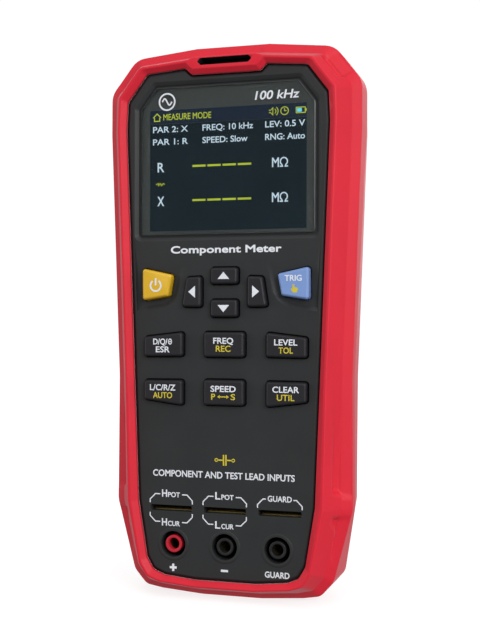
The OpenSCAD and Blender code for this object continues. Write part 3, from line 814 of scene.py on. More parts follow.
# ---- window and display
WINDOW_CORNERS = front_corners("lens")
window_low, window_high = box_mm("lens")
SCREEN_Y = box_mm("display_panel")[0].y
SCREEN_Z = middle_mm("display_panel").z
HALF_SCREEN_W = 28.8
SCREEN_TOP = SCREEN_Z + 21.6
SCREEN_FOOT = SCREEN_Z - 21.6


def window_outline(growth, radius=0.9):
    """The window's outline; its two upper corners are cut off and all corners a little round."""
    return rounded(offset(WINDOW_CORNERS, growth), max(0.2, radius + growth), 4)


def display_window():
    shape = Shape()
    edge = [(-0.28, 0), (-0.05, 0.16), (0, 0.3)]
    outline = window_outline(-0.45, 1.75)
    shape.plate(outline, [], window_low.y, window_high.y, edge, edge_paint=1)
    make("display_window", shape, [WINDOW, WINDOW_EDGE], replaces=["lens"],
         sharp=20)


def window_border():
    """Ink on the back of the window that frames the lit area, with the printed marks on it."""
    opening = rectangle(-HALF_SCREEN_W, HALF_SCREEN_W, SCREEN_FOOT, SCREEN_TOP)
    back = window_high.y + 0.02
    shape = Shape()
    shape.plate(window_outline(-0.6), [(opening, [(0, 0)], False)], back, back + 0.08, 0)
    make("window_border", shape, [INK_BORDER])
    marks = Print(window_low.y, 0.03, 0.01)
    mark_z = window_high.z - 5.5
    emblem_x, emblem_r = -22.0, 2.9
    marks.hoop(emblem_x, mark_z, emblem_r, 0.55)
    wave = [
        (emblem_x + 3.6 * (i / 24 - 0.5), mark_z + 1.15 * math.sin(2 * math.pi * i / 24))
        for i in range(25)
    ]
    marks.line(wave, 0.5)
    marks.text("100 kHz", 18.3, mark_z + 0.4, 3.0, 15.6, 0.07, 0.2)
    make("window_print", marks.shape, [INK_WHITE])


def screen_field():
    """The lit area: a dark field under a lighter top bar."""
    side, top = HALF_SCREEN_W + 0.5, SCREEN_TOP
    field = Print(SCREEN_Y, 0.04, -0.005)
    field.area(rectangle(-side, side, SCREEN_FOOT - 0.5, top - 5.0, 0.05))
    field.area(rectangle(-side, side, top - 4.9, top + 0.5, 0.05), paint=1)
    make("screen_field", field.shape, [SCREEN_DARK, SCREEN_BAR])


def screen_words(ink, left, bar, lime):
    """The title in the top bar and the two rows of settings below it."""
    upper, lower = bar - 4.4, bar - 8.8
    mid, right = -9.0, 14.0
    ink.text("MEASURE MODE", left + 3.9, bar, 2.2, 18.0, 0.02, 0, lime, 0.0)
    for words, x, z, width in (
        ("PAR 2: X", left, upper, 13.2), ("FREQ: 10 kHz", mid, upper, 18.6),
        ("LEV: 0.5 V", right, upper, 14.2), ("PAR 1: R", left, lower, 13.2),
        ("SPEED: Slow", mid, lower, 16.6), ("RNG: Auto", right, lower, 14.2),
    ):
        ink.text(words, x, z, 2.15, width, 0.035, align=0.0)


def screen_icons(ink, left, bar, lime, cyan):
    """House, loudspeaker, clock and battery in the top bar."""
    home_x, icon_x, clock_x = left + 1.5, 15.9, 20.9
    for x, width, steps in (
        (home_x, 0.35, ((-1.5, -0.1), (0, 1.3), (1.5, -0.1))),
        (home_x, 0.35, ((-1.0, 0), (-1.0, -1.3), (1.0, -1.3), (1.0, 0))),
        (icon_x, 0.28, ((-0.6, 0.4), (0, 0.4), (0.8, 1.2), (0.8, -1.2), (0, -0.4), (-0.6, -0.4))),
    ):
        ink.line([(x + a, bar + b) for a, b in steps], width, lime)
    for r in (1.0, 1.8):
        ink.hoop(icon_x + 0.9, bar, r, 0.28, -50, 50, lime, 8)
    ink.hoop(clock_x, bar, 1.35, 0.3, 0, 360, lime)
    ink.line([(clock_x, bar + 0.9), (clock_x, bar), (clock_x + 0.7, bar)], 0.28, lime)
    x0, x1, half = 24.9, 28.4, 1.1
    hollow = rectangle(x0 + 0.3, x1 - 0.3, bar - half + 0.3, bar + half - 0.3, 0.05)
    ink.area(rectangle(x0, x1, bar - half, bar + half, 0.2), [hollow], lime)
    ink.area(rectangle(x0 + 0.45, x0 + 2.1, bar - half + 0.45, bar + half - 0.45, 0.05), paint=cyan)
    ink.area(rectangle(x1, x1 + 0.35, bar - 0.4, bar + 0.4, 0.05), paint=lime)


def screen_readings(ink, lime):
    """Two empty readings with their letters and units, and a small coil between them."""
    for letter, drop in (("R", 20.4), ("X", 32.5)):
        z = SCREEN_TOP - drop
        ink.text(letter, -24.7, z, 3.4, 2.5, 0.05)
        for k in range(4):
            x = -10.3 + 5.6 * k
            ink.bar((x - 2.45, z + 0.1), (x + 2.45, z + 0.1), 0.7, lime)
        ink.text("M", 17.7, z + 0.2, 3.3, 2.5, 0.05)
        ink.omega(20.7, z + 0.2, 3.3, 3.0, 0.42)
    coil = ((-26.6, 0), (-25.6, 0.45), (-25.6, -0.45), (-24.9, 0.45), (-24.4, -0.45),
            (-23.8, 0.4), (-23.2, 0))
    ink.line([(x, SCREEN_TOP - 26.5 + rise) for x, rise in coil], 0.28, lime)


def screen_characters():
    ink = Print(SCREEN_Y, 0.08, -0.045)
    left, bar = -27.7, SCREEN_TOP - 2.5
    lime, cyan = 1, 2
    screen_words(ink, left, bar, lime)
    screen_icons(ink, left, bar, lime, cyan)
    screen_readings(ink, lime)
    make("screen_characters", ink.shape, [SCREEN_WHITE, SCREEN_LIME, SCREEN_CYAN])


# ---- front case
KEY_GAP = 0.35
SLOT_PITCH = 19.9
SLOT_W = 15.3
SLOT_H = 2.0
SLOT_Z = middle_mm("slot_contacts").z
JACK_Z = middle_mm("jack_minus").z
JACKS = {
    "jack_plus": (JACK_RED, "insulator_red"),
    "jack_minus": (JACK_BLACK, "insulator_black"),
    "jack_guard": (JACK_BLACK, "insulator_black"),
}
JACK_X = [middle_mm(node).x for node in JACKS]
JACK_HOLE_R = 4.55
# The step that borders the lower shelves under the power and trigger keys, from the panel's side
# inwards and up; SHELF_BAND wide and SHELF_DEPTH deep where it is deepest
SHELF_LINE = [Vector(p) for p in ((40, 99.9), (33.5, 101.1), (21.9, 103.1), (19.0, 105.1),
                                  (17.2, 108.2), (15.4, 116.5), (14.9, 121.5))]
SHELF_BAND = 1.35
SHELF_DEPTH = 1.0


def shelf(p):
    """How far the panel lies back at a point: the shelves under the two coloured keys."""
    spot = Vector((abs(p.x), p.y))
    best, side = 1e9, 0.0
    for a, b in zip(SHELF_LINE, SHELF_LINE[1:]):
        along = b - a
        t = max(0.0, min(1.0, (spot - a).dot(along) / along.length_squared))
        gap = (spot - (a + along * t)).length
        if gap < best:
            best = gap
            side = -(along.x * (spot.y - a.y) - along.y * (spot.x - a.x))
    if side <= 0 or spot.y < SHELF_LINE[0].y:
        return 0.0
    fade = 1 - smooth_step((spot.y - 104) / 16)
    return SHELF_DEPTH * fade * min(1.0, best / SHELF_BAND)


def panel_holes():
    """Every opening in the panel as (loop, edge profile, floor)."""
    window_rim = [(1.5, 0), (1.35, 0.05), (0.15, 0.9), (0, 1.1), (0, 1.35), (-1.2, 1.38)]
    holes = [(window_outline(0.3), window_rim, False)]
    for node in KEY_NODES:
        loop = rounded(offset(front_corners(node), KEY_GAP), 1.25, 4)
        holes.append((loop, quarter_round(0.3, 0.3), False))
    for x in (-SLOT_PITCH, 0, SLOT_PITCH):
        loop = rectangle(x - SLOT_W / 2, x + SLOT_W / 2, SLOT_Z - SLOT_H / 2, SLOT_Z + SLOT_H / 2,
                         0.35)
        holes.append((loop, quarter_round(0.2, 0.25), False))
    collar = [(1.45, 0), (1.2, -0.06), (1.1, -0.2), (1.0, -0.25), (0.25, -0.25), (0.08, -0.2),
              (0, -0.05)]
    return holes + [(circle(x, JACK_Z, JACK_HOLE_R, 64), collar, False) for x in JACK_X]


def shelf_tracks(limit):
    """Lines along both edges of the shelves' step, which keep it crisp; they start inside limit."""
    tracks = []
    for sign in (-1, 1):
        for far in (0.0, SHELF_BAND):
            track = []
            for before, here, after in zip(SHELF_LINE, SHELF_LINE[1:], SHELF_LINE[2:]):
                a, b = (here - before).normalized(), (after - here).normalized()
                spot = here + Vector((a.y + b.y, -a.x - b.x)).normalized() * far
                track.append(Vector((sign * spot.x, spot.y)))
            along = (track[1] - track[0]).normalized()
            while not inside(track[0], limit):
                track[0] = track[0] + along * 0.1
            tracks.append(track)
    return tracks


def front_case():
    outline = ring(-0.45, -0.45, -0.45, TAB_DROP)
    edge = [(-0.85, 0), (-0.7, 0.04), (-0.12, 0.5), (0, 0.75)]
    holes = panel_holes()
    limit = offset(outline, -1.4)
    tracks = shelf_tracks(limit)
    rims = [offset(loop, profile[0][0] + 0.35) for loop, profile, _ in holes]
    pitch = 1.1
    grid = [Vector((x * pitch * s, z * pitch))
            for s in (-1, 1) for x in range(12, 34) for z in range(91, 111)]
    inner = [p for p in grid if inside(p, limit) and not any(inside(p, h) for h in rims)
             and min((p - q).length for track in tracks for q in track) > 0.5]
    shape = Shape()
    shape.plate(outline, holes, PANEL_Y, WALL_IN_Y, edge, shelf, inner, tracks)
    shape.walls([
        ((-1.0, -1.0, -1.0), PANEL_Y + 1.3), ((1.4, 1.2, 1.0), PANEL_Y + 1.3),
        ((1.4, 1.2, 1.0), PANEL_Y + 5.7), ((3.6, 3.0, 2.6), PANEL_Y + 5.9),
        ((3.6, 3.0, 2.6), PANEL_Y + 10.1), ((6.2, 5.8, 3.9), PANEL_Y + 10.3),
        ((6.2, 5.8, 3.9), SPLIT_Y), ((4.2, 3.8, 1.9), SPLIT_Y), ((4.2, 3.8, 1.9), PANEL_Y + 11.6),
        ((1.6, 1.0, 0.6), PANEL_Y + 7.4), ((-1.0, -1.0, -1.0), WALL_IN_Y),
    ])
    make("front_case_shell", shape, [PANEL_GREY], replaces=["front_case"],
         sharp=28)


def panel_print():
    """White lettering and brackets on the panel, and a yellow capacitor symbol."""
    ink = Print(PANEL_Y)
    yellow = 1
    ink.text("Component Meter", 0, 123.1, 2.6, 40.6, 0.11)
    ink.text("COMPONENT AND TEST LEAD INPUTS", -0.8, 44.0, 2.3, 52.0, 0.06)
    cap_z = 49.3
    for side in (-1, 1):
        ink.bar((side * 0.45, cap_z - 1.9), (side * 0.45, cap_z + 1.9), 0.5, yellow)
        ink.bar((side * 0.6, cap_z), (side * 2.6, cap_z), 0.45, yellow)
    for side in (-1, 1):
        ink.hoop(side * 3.1, cap_z, 0.5, 0.32, 0, 360, yellow, 16)
    for x, big in ((-SLOT_PITCH, "H"), (0, "L")):
        for up, small in ((1, "POT"), (-1, "CUR")):
            slot_label(ink, x, up, big, small)
    slot_label(ink, SLOT_PITCH, 1, "", "GUARD", 4.9)
    mark_z = JACK_Z - 8.3
    plus_x, minus_x, guard_x = JACK_X
    ink.bar((plus_x - 1.3, mark_z), (plus_x + 1.3, mark_z), 0.8)
    ink.bar((plus_x, mark_z + 0.4), (plus_x, mark_z + 1.3), 0.8)
    ink.bar((plus_x, mark_z - 1.3), (plus_x, mark_z - 0.4), 0.8)
    ink.bar((minus_x - 1.3, mark_z), (minus_x + 1.3, mark_z), 0.8)
    ink.text("GUARD", guard_x, mark_z - 0.2, 2.1, 8.8, 0.06)
    make("panel_print", ink.shape, [INK_WHITE, INK_YELLOW])


def slot_label(ink, x, up, big, small, reach=4.1):
    """A label and the bracket lines that lead from it round one edge of a slot."""
    half_w, corner = SLOT_W / 2 + 0.3, 2.0
    label_z = SLOT_Z + up * 5.1
    line_z = SLOT_Z + up * 4.9
    for side in (-1, 1):
        end_x = x + side * half_w
        ink.line([(x + side * reach, line_z), (x + side * (half_w - corner), line_z),
                  (end_x, line_z - up * corner), (end_x, SLOT_Z + up * 1.7)], 0.38)
    if big:
        ink.text(big, x - 2.5, label_z + 0.1, 2.6, 1.95, 0.07)
        ink.text(small, x + 1.05, label_z - 0.3, 1.75, 4.5, 0.05)
    else:
        ink.text(small, x, label_z, 2.0, 8.6, 0.05)


# ---- keys
KEY_FRONT_Y = box_mm("key_up")[0].y
FLANGE_Y = WALL_IN_Y + 0.1


def key_cap(node, material, slot):
    """A moulded key: stem, flange behind the panel and a cap whose flat top has rounded edges."""
    corners = front_corners(node)
    stem_end = box_mm(node)[1].y
    shape = Shape()
    rings = []
    for growth, y in ((1.0, FLANGE_Y + 1.0), (1.0, FLANGE_Y + 0.02), (0.0, FLANGE_Y + 0.02),
                      (0.0, KEY_FRONT_Y + 1.1), (-0.12, KEY_FRONT_Y + 0.72),
                      (-0.42, KEY_FRONT_Y + 0.26), (-0.66, KEY_FRONT_Y + 0.10),
                      (-0.95, KEY_FRONT_Y + 0.04)):
        if growth > 0:
            rings.append(at(rounded(offset(corners, growth), 1.6, 4), y))
        else:
            rings.append(at(offset(rounded(corners, 1.0, 4), growth), y))
    shape.loft(rings)
    stem = [(1.6, FLANGE_Y + 0.9), (1.6, stem_end - 0.2), (1.4, stem_end)]
    shape.lathe(stem, centre_of(corners), 24)
    make(f"{node}_cap", shape, [material], node, [node], 25)


def key_legend(node, draw):
    ink = Print(KEY_FRONT_Y, 0.0, 0.07)
    draw(ink, *centre_of(front_corners(node)))
    make(f"{node}_legend", ink.shape, [INK_WHITE, INK_YELLOW], node)


def two_lines(upper, upper_w, lower, lower_w):
    def draw(ink, x, z):
        ink.text(upper, x, z + 1.35, 2.1, upper_w, 0.055)
        ink.text(lower, x, z - 1.4, 2.1, lower_w, 0.045, 0, 1)
    return draw


def arrow(turn):
    def draw(ink, x, z):
        spin = Matrix.Rotation(math.radians(turn), 2)
        ink.area([Vector((x, z)) + spin @ Vector(p) for p in ((-2.1, -1.15), (2.1, -1.15), (0, 1.35))])
    return draw


def power_mark(ink, x, z):
    ink.hoop(x, z - 0.25, 1.95, 0.62, 125, 415)
    ink.bar((x, z - 0.2), (x, z + 2.35), 0.62)


def trigger_mark(ink, x, z):
    """The word and, below it, a small pointing hand."""
    ink.text("TRIG", x - 0.2, z + 2.0, 2.0, 6.0, 0.045)
    hand = [(-0.6, 1.6), (-0.6, 0.0), (-1.0, 0.25), (-1.3, 0.0), (-0.7, -0.9), (-0.4, -1.3),
            (0.9, -1.3), (1.2, -0.3), (1.2, 0.3), (0.0, 0.6), (0.0, 1.6)]
    ink.area(rounded([(x + 0.2 + a, z - 1.7 + b) for a, b in reversed(hand)], 0.25, 3), paint=1)


def quality_mark(ink, x, z):
    ink.text("D/Q/", x - 0.9, z + 1.35, 2.1, 5.4, 0.055)
    ink.theta(x + 2.75, z + 1.35, 2.1, 1.5, 0.32)
    ink.text("ESR", x, z - 1.4, 2.1, 5.2, 0.055)


def speed_mark(ink, x, z):
    ink.text("SPEED", x, z + 1.35, 2.1, 9.2, 0.055)
    low = z - 1.4
    ink.text("P", x - 3.6, low, 2.1, 1.5, 0.045, 0, 1)
    ink.text("S", x + 3.6, low, 2.1, 1.6, 0.045, 0, 1)
    ink.bar((x - 1.3, low), (x + 1.3, low), 0.35, 1)
    for side in (-1, 1):
        tip = [Vector((x + side * 2.15, low)), Vector((x + side * 1.2, low + 0.62)),
               Vector((x + side * 1.2, low - 0.62))]
        ink.area(tip if side > 0 else tip[::-1], paint=1)


KEY_MARKS = {
    "key_power": power_mark,
    "key_trig": trigger_mark,
    "key_up": arrow(0),
    "key_down": arrow(180),
    "key_left": arrow(90),
    "key_right": arrow(-90),
    "key_quality": quality_mark,
    "key_frequency": two_lines("FREQ", 7.3, "REC", 5.4),
    "key_level": two_lines("LEVEL", 8.2, "TOL", 5.1),
    "key_mode": two_lines("L/C/R/Z", 9.6, "AUTO", 7.2),
    "key_speed": speed_mark,
    "key_clear": two_lines("CLEAR", 9.4, "UTIL", 6.2),
}
COLOURED_KEYS = {"key_power": (KEY_YELLOW, "key_yellow"), "key_trig": (KEY_BLUE, "key_blue")}


def keys():
    for node, draw in KEY_MARKS.items():
        key_cap(node, *COLOURED_KEYS.get(node, (KEY_BLACK, "key_black")))
        key_legend(node, draw)


# ---- jacks and component slots
POST_R = 3.1
BORE_R = 2.0
JACK_END_Y = box_mm("jack_minus")[1].y
CONTACT_R = 2.6


def jack(node, material):
    """Shrouded socket: a coloured, round-nosed post inside a black sleeve, with a ring-shaped
    space between them."""
    place = (middle_mm(node).x, JACK_Z)
    nose = PANEL_Y + 0.3
    post = [
        (BORE_R, nose + 0.45), (BORE_R + 0.15, nose + 0.15), (BORE_R + 0.45, nose),
        (POST_R - 0.35, nose), (POST_R - 0.08, nose + 0.12), (POST_R, nose + 0.4),
        (POST_R, JACK_END_Y - 2), (CONTACT_R + 0.05, JACK_END_Y - 2),
        (CONTACT_R + 0.05, PANEL_Y + 2.8), (BORE_R, PANEL_Y + 2.8),
    ]
    sleeve = [
        (POST_R - 0.3, JACK_END_Y - 1.95), (JACK_HOLE_R, JACK_END_Y - 1.95),
        (JACK_HOLE_R, FLANGE_Y + 0.25), (JACK_HOLE_R + 0.25, FLANGE_Y),
        (JACK_HOLE_R + 0.8, FLANGE_Y), (JACK_HOLE_R + 1, FLANGE_Y + 0.2),
        (JACK_HOLE_R + 1, JACK_END_Y), (POST_R - 0.3, JACK_END_Y),
    ]
    shape = Shape()
    shape.lathe(post, place, 64, closed=True)
    shape.lathe(sleeve, place, 64, closed=True, paint=1)
    make(f"{node}_socket", shape, [material, JACK_BLACK], replaces=[node], sharp=28)


def jacks():
    for node, (material, slot) in JACKS.items():
        jack(node, material)


def jack_contacts():
    """Turned sleeves with a rounded mouth, closed behind, each slit into four springs."""
    low, high = box_mm("jack_contacts")
    profile = [(0.05, high.y), (CONTACT_R, high.y), (CONTACT_R, low.y + 0.15),
               (CONTACT_R - 0.12, low.y), (BORE_R + 0.2, low.y), (BORE_R + 0.02, low.y + 0.3),
               (BORE_R + 0.02, high.y - 5), (0.05, high.y - 5)]
    shape = Shape()
    slits = Shape()
    wide, narrow, apart = CONTACT_R + 0.3, 0.2, 0.01
    for x in JACK_X:
        shape.lathe(profile, (x, JACK_Z), 40, closed=True)
        for half_w, half_h, back in ((wide, narrow, apart), (narrow, wide, 0)):
            loop = rectangle(x - half_w, x + half_w, JACK_Z - half_h, JACK_Z + half_h, 0.05, 2)
            slits.loft([at(loop, y) for y in (low.y - 0.5 - back, high.y - 8 - back)])
    piece = make("jack_contact_sleeves", shape, [BRASS], replaces=["jack_contacts"],
                 sharp=30)
    cut(piece, slits, 30)


def slot_leaves():
    """Spring leaves in the component slots: a full-width lip and three fingers behind it, bowed
    to the middle."""
    low, high = box_mm("slot_contacts")
    count, gap, thick, lip = 3, 0.4, 0.28, 7
    length = SLOT_W - 0.5
    finger = (length - gap * (count - 1)) / count
    bow_y = low.y + 1.6
    shape = Shape()
    line = []
    for i in range(17):
        y = low.y + 0.05 + (high.y - low.y - 0.15) * i / 16
        lift = 0.28 + 1.9 * (max(0, y - bow_y) / (high.y - bow_y)) ** 2
        line.append((y, lift + 0.5 * (max(0, bow_y - y) / (bow_y - low.y)) ** 2))
    for k in (-1, 0, 1):
        start = k * SLOT_PITCH - length / 2
        spans = [(start, start + length, line[:lip + 1])]
        for f in range(count):
            x0 = start + f * (finger + gap)
            spans.append((x0 + 0.03, x0 + finger - 0.03, line[lip:]))
        for up in (-1, 1):
            for x0, x1, stations in spans:
                shape.loft([
                    [(x, y, SLOT_Z + up * d) for x, d in ((x0, lift), (x1, lift),
                     (x1, lift + thick), (x0, lift + thick))]
                    for y, lift in stations
                ])
    make("slot_spring_leaves", shape, [BRASS], replaces=["slot_contacts"],
         sharp=30)


# ---- back of the meter
STAND_LOW, STAND_HIGH = box_mm("tilt_stand")
JOINTS = frame["record"]["behaviour"]["joints"]
HINGE_AT = next(Vector(j["pos_m"]) / MM for j in JOINTS if j["name"] == "stand_hinge")
STAND_HALF_W = 24.0
POCKET_HALF_W = STAND_HALF_W + 3
POCKET_Z = (STAND_LOW.z - 3, HINGE_AT.z + 4)
DOOR_LOW, DOOR_HIGH = box_mm("battery_door")
DOOR_SCREWS = [(-12, 134), (12, 134)]
CASE_SCREWS = [(s * 24, PANEL_TOP - 7.5) for s in (-1, 1)] + [(s * 9.525, JACK_Z + 5) for s in (-1, 1)]


def rear_case():
    shape = Shape()
    shape.walls([
        ((6.2, 5.8, 3.9), SPLIT_Y), ((6.2, 5.8, 3.9), 1.9), ((4.9, 4.6, 3.4), 2.1),
        ((4.9, 4.6, 3.4), 7.9), ((3.6, 3.4, 2.6), 8.1), ((3.6, 3.4, 2.6), 14.2),
        ((1.55, 1.55, 1.15), 14.4), ((1.55, 1.55, 1.15), CASE_BACK_Y - 0.65),
        ((-0.4, -0.4, -0.4), CASE_BACK_Y - 0.65), ((-0.4, -0.4, -0.4), 12.7),
        ((1.6, 1.4, 0.6), 6.6), ((2.9, 2.6, 1.4), 0.6), ((4.2, 3.8, 1.9), SPLIT_Y),
    ])
    pocket = rectangle(-POCKET_HALF_W, POCKET_HALF_W, *POCKET_Z, 3.0, 6)
    pocket_rim = quarter_round(0.5, 0.5) + [(0, CASE_BACK_Y - POCKET_Y - 0.02)]
    bore_rim = quarter_round(0.25, 0.25) + [(0, CASE_BACK_Y - 8.5)]
    holes = [(pocket, pocket_rim, False)]
    holes += [(circle(x, z, 3.2, 40), bore_rim, True) for x, z in CASE_SCREWS]
    shape.plate(ring(1.6, 1.6, 1.2), holes, CASE_BACK_Y, POCKET_Y - 0.05, 0.5)
    door = rectangle(DOOR_LOW.x - 0.3, DOOR_HIGH.x + 0.3, DOOR_LOW.z - 0.3, DOOR_HIGH.z + 0.3, 1.6)
    floor = rectangle(-POCKET_HALF_W - 1, POCKET_HALF_W + 1, POCKET_Z[0] - 1, POCKET_Z[1] + 1, 3.5)
    shape.plate(floor, [(door, quarter_round(0.25, 0.25), False)], POCKET_Y, POCKET_Y - 2.4, 0)
    make("rear_case_shell", shape, [CASE_GREY], replaces=["rear_case"],
         sharp=28)


def hinge_ears():
    """Two cheeks beside the pocket that hold the stand's pin."""
    ears = Shape()
    ear_z, ear_half, ear_back = HINGE_AT.z, 3.5, BACK_Y - 0.8
    for side in (-1, 1):
        outline = rounded([(CASE_BACK_Y - 1, ear_z - ear_half), (ear_back, ear_z - ear_half + 0.8),
                           (ear_back, ear_z + ear_half - 0.8), (CASE_BACK_Y - 1, ear_z + ear_half)],
                          [0.1, 1.4, 1.4, 0.1], 5)
        x0, x1 = POCKET_HALF_W + 0.3, POCKET_HALF_W + 3.9
        levels = [(x0, -0.3), (x0 + 0.1, -0.1), (x0 + 0.35, 0), (x1 - 0.35, 0), (x1 - 0.1, -0.1),
                  (x1, -0.3)]
        ears.loft([[(side * x, p.x, p.y) for p in offset(outline, o)] for x, o in levels])
    make("stand_hinge_ears", ears, [CASE_GREY])


def screw_head(shape, x, z, y, r, height):
    """Pan head with a rounded rim and a cross recess, facing +Y."""
    arm, wide = r * 0.5, r * 0.15
    cross = [(arm, -wide), (arm, wide), (wide, wide), (wide, arm), (-wide, arm), (-wide, wide),
             (-arm, wide), (-arm, -wide), (-wide, -wide), (-wide, -arm), (wide, -arm), (wide, -wide)]
    cross = [Vector((x + a, z + b)) for a, b in cross]
    edge = quarter_round(-0.35 * r, 0.55 * height, 4)
    recess = [(0.02 * r, 0), (-0.01 * r, 0.1), (-0.05 * r, 0.7 * height)]
    shape.plate(circle(x, z, r, 40), [(cross, recess, True)], y + height, y, edge)


def screws():
    low, high = box_mm("case_screws")
    shape = Shape()
    for x, z in CASE_SCREWS:
        screw_head(shape, x, z, high.y - 1.6, 2.8, 1.6)
        shape.lathe([(1.15, high.y - 1.55), (1.15, low.y + 1), (0.4, low.y)], (x, z), 20)
    make("case_screw_set", shape, [STEEL], replaces=["case_screws"], sharp=30)
    low, high = box_mm("battery_door_screws")
    shape = Shape()
    for x, z in DOOR_SCREWS:
        screw_head(shape, x, z, high.y - 0.8, 2.4, 0.78)
        shape.lathe([(1.0, high.y - 0.75), (1.0, low.y + 0.8), (0.3, low.y)], (x, z), 20)
    make("door_screw_set", shape, [STEEL], replaces=["battery_door_screws"], sharp=30)


def battery_door():
    outline = rectangle(DOOR_LOW.x, DOOR_HIGH.x, DOOR_LOW.z, DOOR_HIGH.z, 1.4)
    bore = quarter_round(0.15, 0.15) + [(0, 0.7), (-1.2, 0.72)]
    holes = [(circle(x, z, 2.7, 36), bore, False) for x, z in DOOR_SCREWS]
    shape = Shape()
    shape.plate(outline, holes, DOOR_HIGH.y, DOOR_HIGH.y - 1.26, 0.3)
    for k in range(5):
        z = 66 + 2.4 * k
        bar = rectangle(-9 + 0.9 * k, 9 - 0.9 * k, z - 0.5, z + 0.5, 0.45)
        shape.plate(bar, [], DOOR_HIGH.y + 0.25, DOOR_HIGH.y - 0.1, 0.2)
    tongue = rectangle(-12, 12, 61, 62.2, 0.2)
    shape.plate(tongue, [], DOOR_HIGH.y - 1.2, DOOR_LOW.y, 0.1)
    make("battery_door_panel", shape, [CASE_GREY], replaces=["battery_door"],
         sharp=28)


def tilt_stand():
    """Plate with a raised border, ribs, a finger notch at its foot and a round knuckle."""
    inner_y, outer_y = POCKET_Y + 0.4, POCKET_Y + 2.6
    foot, top = STAND_LOW.z, HINGE_AT.z - 1
    notch_r, notch_z = 9.0, foot - 4.5
    start = math.asin((foot - notch_z) / notch_r)
    arc = [start + (math.pi - 2 * start) * i / 14 for i in range(15)]
    notch = [Vector((notch_r * math.cos(t), notch_z + notch_r * math.sin(t))) for t in arc]
    half = STAND_HALF_W
    corners = [Vector(p) for p in ((-half, top), (-half + 3, foot + 4), (-half + 7, foot))]
    left = arc_points(corners[0], corners[1], corners[2], 2.5, 4) + \
        arc_points(corners[1], corners[2], Vector((-notch_r, foot)), 2.5, 4)
    outline = [corners[0], *left, *reversed(notch), *[Vector((-p.x, p.y)) for p in reversed(left)],
               Vector((half, top))]
    pan = rounded([(-half + 4.5, top - 6), (-half + 6.6, foot + 12), (-12.5, foot + 9),
                   (12.5, foot + 9), (half - 6.6, foot + 12), (half - 4.5, top - 6)], 2.0, 5)
    pan_rim = [(0.3, 0), (0.12, 0.06), (-0.05, 0.35), (-0.25, 0.6), (-0.6, 0.7)]
    shape = Shape()
    shape.plate(outline, [(pan, pan_rim, True)], outer_y, inner_y, 0.45)
    for k in range(6):
        z = foot + 19 + 3.2 * k
        rib = rectangle(-12, 12, z - 0.6, z + 0.6, 0.55)
        shape.plate(rib, [], outer_y - 0.12, outer_y - 0.9, 0.35)
    knuckle = [(0.3, -half + 0.02), (1.35, -half + 0.02), (1.6, -half + 0.3), (1.6, half - 0.3),
               (1.35, half - 0.02), (0.3, half - 0.02)]
    shape.lathe(knuckle, (HINGE_AT.y, HINGE_AT.z), 32, "X")
    end = STAND_HIGH.x
    pin = [(0.3, -end), (1.05, -end), (1.25, -end + 0.2), (1.25, end - 0.2), (1.05, end), (0.3, end)]
    shape.lathe(pin, (HINGE_AT.y, HINGE_AT.z), 32, "X")
    make("tilt_stand_leg", shape, [CASE_GREY], "tilt_stand", ["tilt_stand"], 28)


def rating_label():
    low, high = box_mm("rating_label")
    shape = Shape()
    shape.plate(rectangle(low.x, high.x, low.z, high.z, 1.5), [], high.y, low.y, 0.05)
    make("rating_label_sheet", shape, [LABEL_GREY], replaces=["rating_label"])
    ink = Print(high.y, 0.02, 0.01, way=1)
    ink.text("LCR METER", 0, high.z - 4.2, 2.4, 20.0, 0.06)
    for k, width in enumerate((34, 28, 31)):
        ink.bar((-18, high.z - 9.5 - 2.6 * k), (-18 + width, high.z - 9.5 - 2.6 * k), 0.7)
    ink.area(rectangle(-18.5, 18.5, low.z + 2.2, low.z + 6.2, 0.6),
             [rectangle(-18.1, 18.1, low.z + 2.6, low.z + 5.8, 0.3)])
    make("rating_label_print", ink.shape, [INK_GREY])


def port_cover():
    """Rubber flap over the charging port: domed lid, finger lip and a plug behind it."""
    low, high = box_mm("port_cover")
    top = high.z
    shape = Shape()
    shape.stack(rectangle(low.x, high.x, low.y, high.y, 0.6),
                [(-0.5, top - 2.5), (-0.1, top - 2.1), (0, top - 0.4), (-0.12, top - 0.12),
                 (-0.4, top - 0.02), (-0.9, top)])
    nub = rectangle(-3.5, 3.5, low.y + 0.9, low.y + 1.5, 0.25)
    shape.stack(nub, [(0.1, top - 0.3), (0.0, top - 0.08), (-0.12, top)])
    middle = (low.y + high.y) / 2
    plug = rectangle(-4, 4, middle - 1.1, middle + 1.1, 0.9)
    shape.stack(plug, [(0, top - 2.4), (0, low.z + 0.3), (-0.3, low.z)])
    make("port_cover_flap", shape, [BOOT_RED], "port_cover", ["port_cover"], 30)


# ---- inner parts keep their CAD shape
INNER = {
    "display_panel": CHIP_BLACK, "display_frame": STEEL, "display_flex": COPPER_FILM,
    "keypad_mat": SILICONE, "snap_domes": STEEL, "main_board": BOARD_GREEN,
    "board_screws": STEEL, "shield_can": STEEL, "board_chips": CHIP_BLACK,
    "range_relays": RELAY_WHITE, "buzzer": CHIP_BLACK, "usb_socket": STEEL,
    "slot_block": JACK_BLACK, "battery_pack": BATTERY_BLUE, "battery_connector": RELAY_WHITE,
}


def paint_inner_parts():
    for node, material in INNER.items():
        mesh = frame["nodes"][node].data
        mesh.materials.clear()
        mesh.materials.append(material)


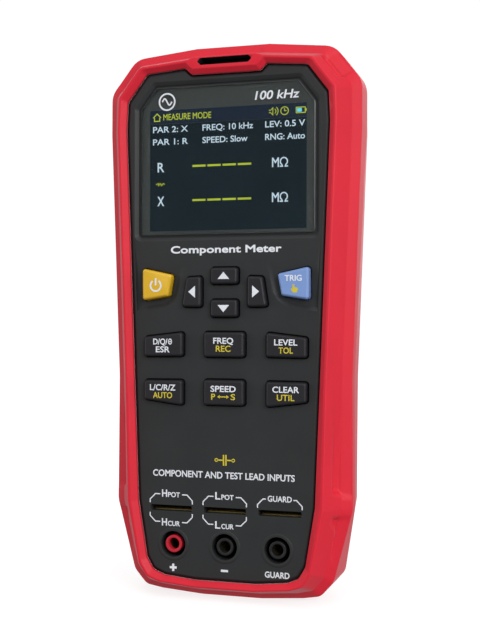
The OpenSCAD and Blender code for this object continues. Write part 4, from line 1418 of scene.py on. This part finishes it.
# ---- stage
def studio():
    """Plain pale floor, white surroundings and five soft lamps, the strongest at the upper right."""
    floor_mesh = bpy.data.meshes.new("floor")
    size = 3.0
    floor_mesh.from_pydata([(-size, -size, 0), (size, -size, 0), (size, size, 0), (-size, size, 0)],
                           [], [(0, 1, 2, 3)])
    floor_mesh.materials.append(FLOOR_PALE)
    floor = bpy.data.objects.new("floor", floor_mesh)
    floor.location.z = -0.0002
    floor.visible_diffuse = False
    floor.visible_glossy = False
    bpy.context.scene.collection.objects.link(floor)
    world = bpy.data.worlds.new("studio")
    bpy.context.scene.world = world
    world.use_nodes = True
    tree = world.node_tree
    light = tree.nodes["Background"]
    white = (1, 1, 1, 1)
    set_values(light, {"Color": white, "Strength": 0.42})
    seen = add_node(tree, "Background", {"Color": white, "Strength": 1.05})
    mix = add_node(tree, "MixShader")
    tree.links.new(add_node(tree, "LightPath").outputs["Is Camera Ray"], mix.inputs["Fac"])
    tree.links.new(light.outputs["Background"], mix.inputs[1])
    tree.links.new(seen.outputs["Background"], mix.inputs[2])
    tree.links.new(mix.outputs["Shader"], tree.nodes["World Output"].inputs["Surface"])
    aim = Vector((0, 0, 0.1))
    for name, place, size, power in (
        ("key", (0.88, -0.95, 0.60), 0.8, 14.0),
        ("fill", (-1.0, -0.55, 0.25), 0.8, 3.6),
        ("top", (-0.05, -0.60, 1.10), 0.9, 3.6),
        ("rear", (0.0, 1.2, 0.5), 0.9, 3.0),
        ("side", (1.2, -0.15, 0.30), 0.7, 3.2),
    ):
        lamp = bpy.data.lights.new(name, "AREA")
        lamp.shape = "DISK"
        lamp.size = size
        lamp.energy = power
        spot = bpy.data.objects.new(name, lamp)
        spot.location = place
        spot.rotation_mode = "QUATERNION"
        spot.rotation_quaternion = (aim - Vector(place)).to_track_quat("-Z", "Y")
        bpy.context.scene.collection.objects.link(spot)


def camera():
    """A camera 0.41 m from the meter's axis, 17 degrees to its right, level with its middle."""
    place = Vector((119.3946, -389.8377, 96.7608)) * MM
    lens = bpy.data.cameras.new("camera")
    lens.sensor_width = 36
    lens.lens = 62.755
    lens.clip_start = 0.01
    lens.clip_end = 20
    eye = bpy.data.objects.new("camera", lens)
    right = Vector((0.95592, 0.29360, 0.00272))
    up = Vector((-0.00144, -0.00457, 0.99999))
    back = right.cross(up)
    turn = Matrix((right, up, back)).transposed().to_4x4()
    eye.matrix_world = Matrix.Translation(place) @ turn
    bpy.context.scene.collection.objects.link(eye)
    bpy.context.scene.camera = eye
    bpy.context.scene.view_settings.view_transform = "Standard"


for build in (
    camera, studio, boot_shell, front_case, panel_print, display_window, window_border, screen_field,
    screen_characters, keys, jacks, jack_contacts, slot_leaves, rear_case, hinge_ears, screws,
    battery_door, tilt_stand, rating_label, port_cover, paint_inner_parts,
):
    build()
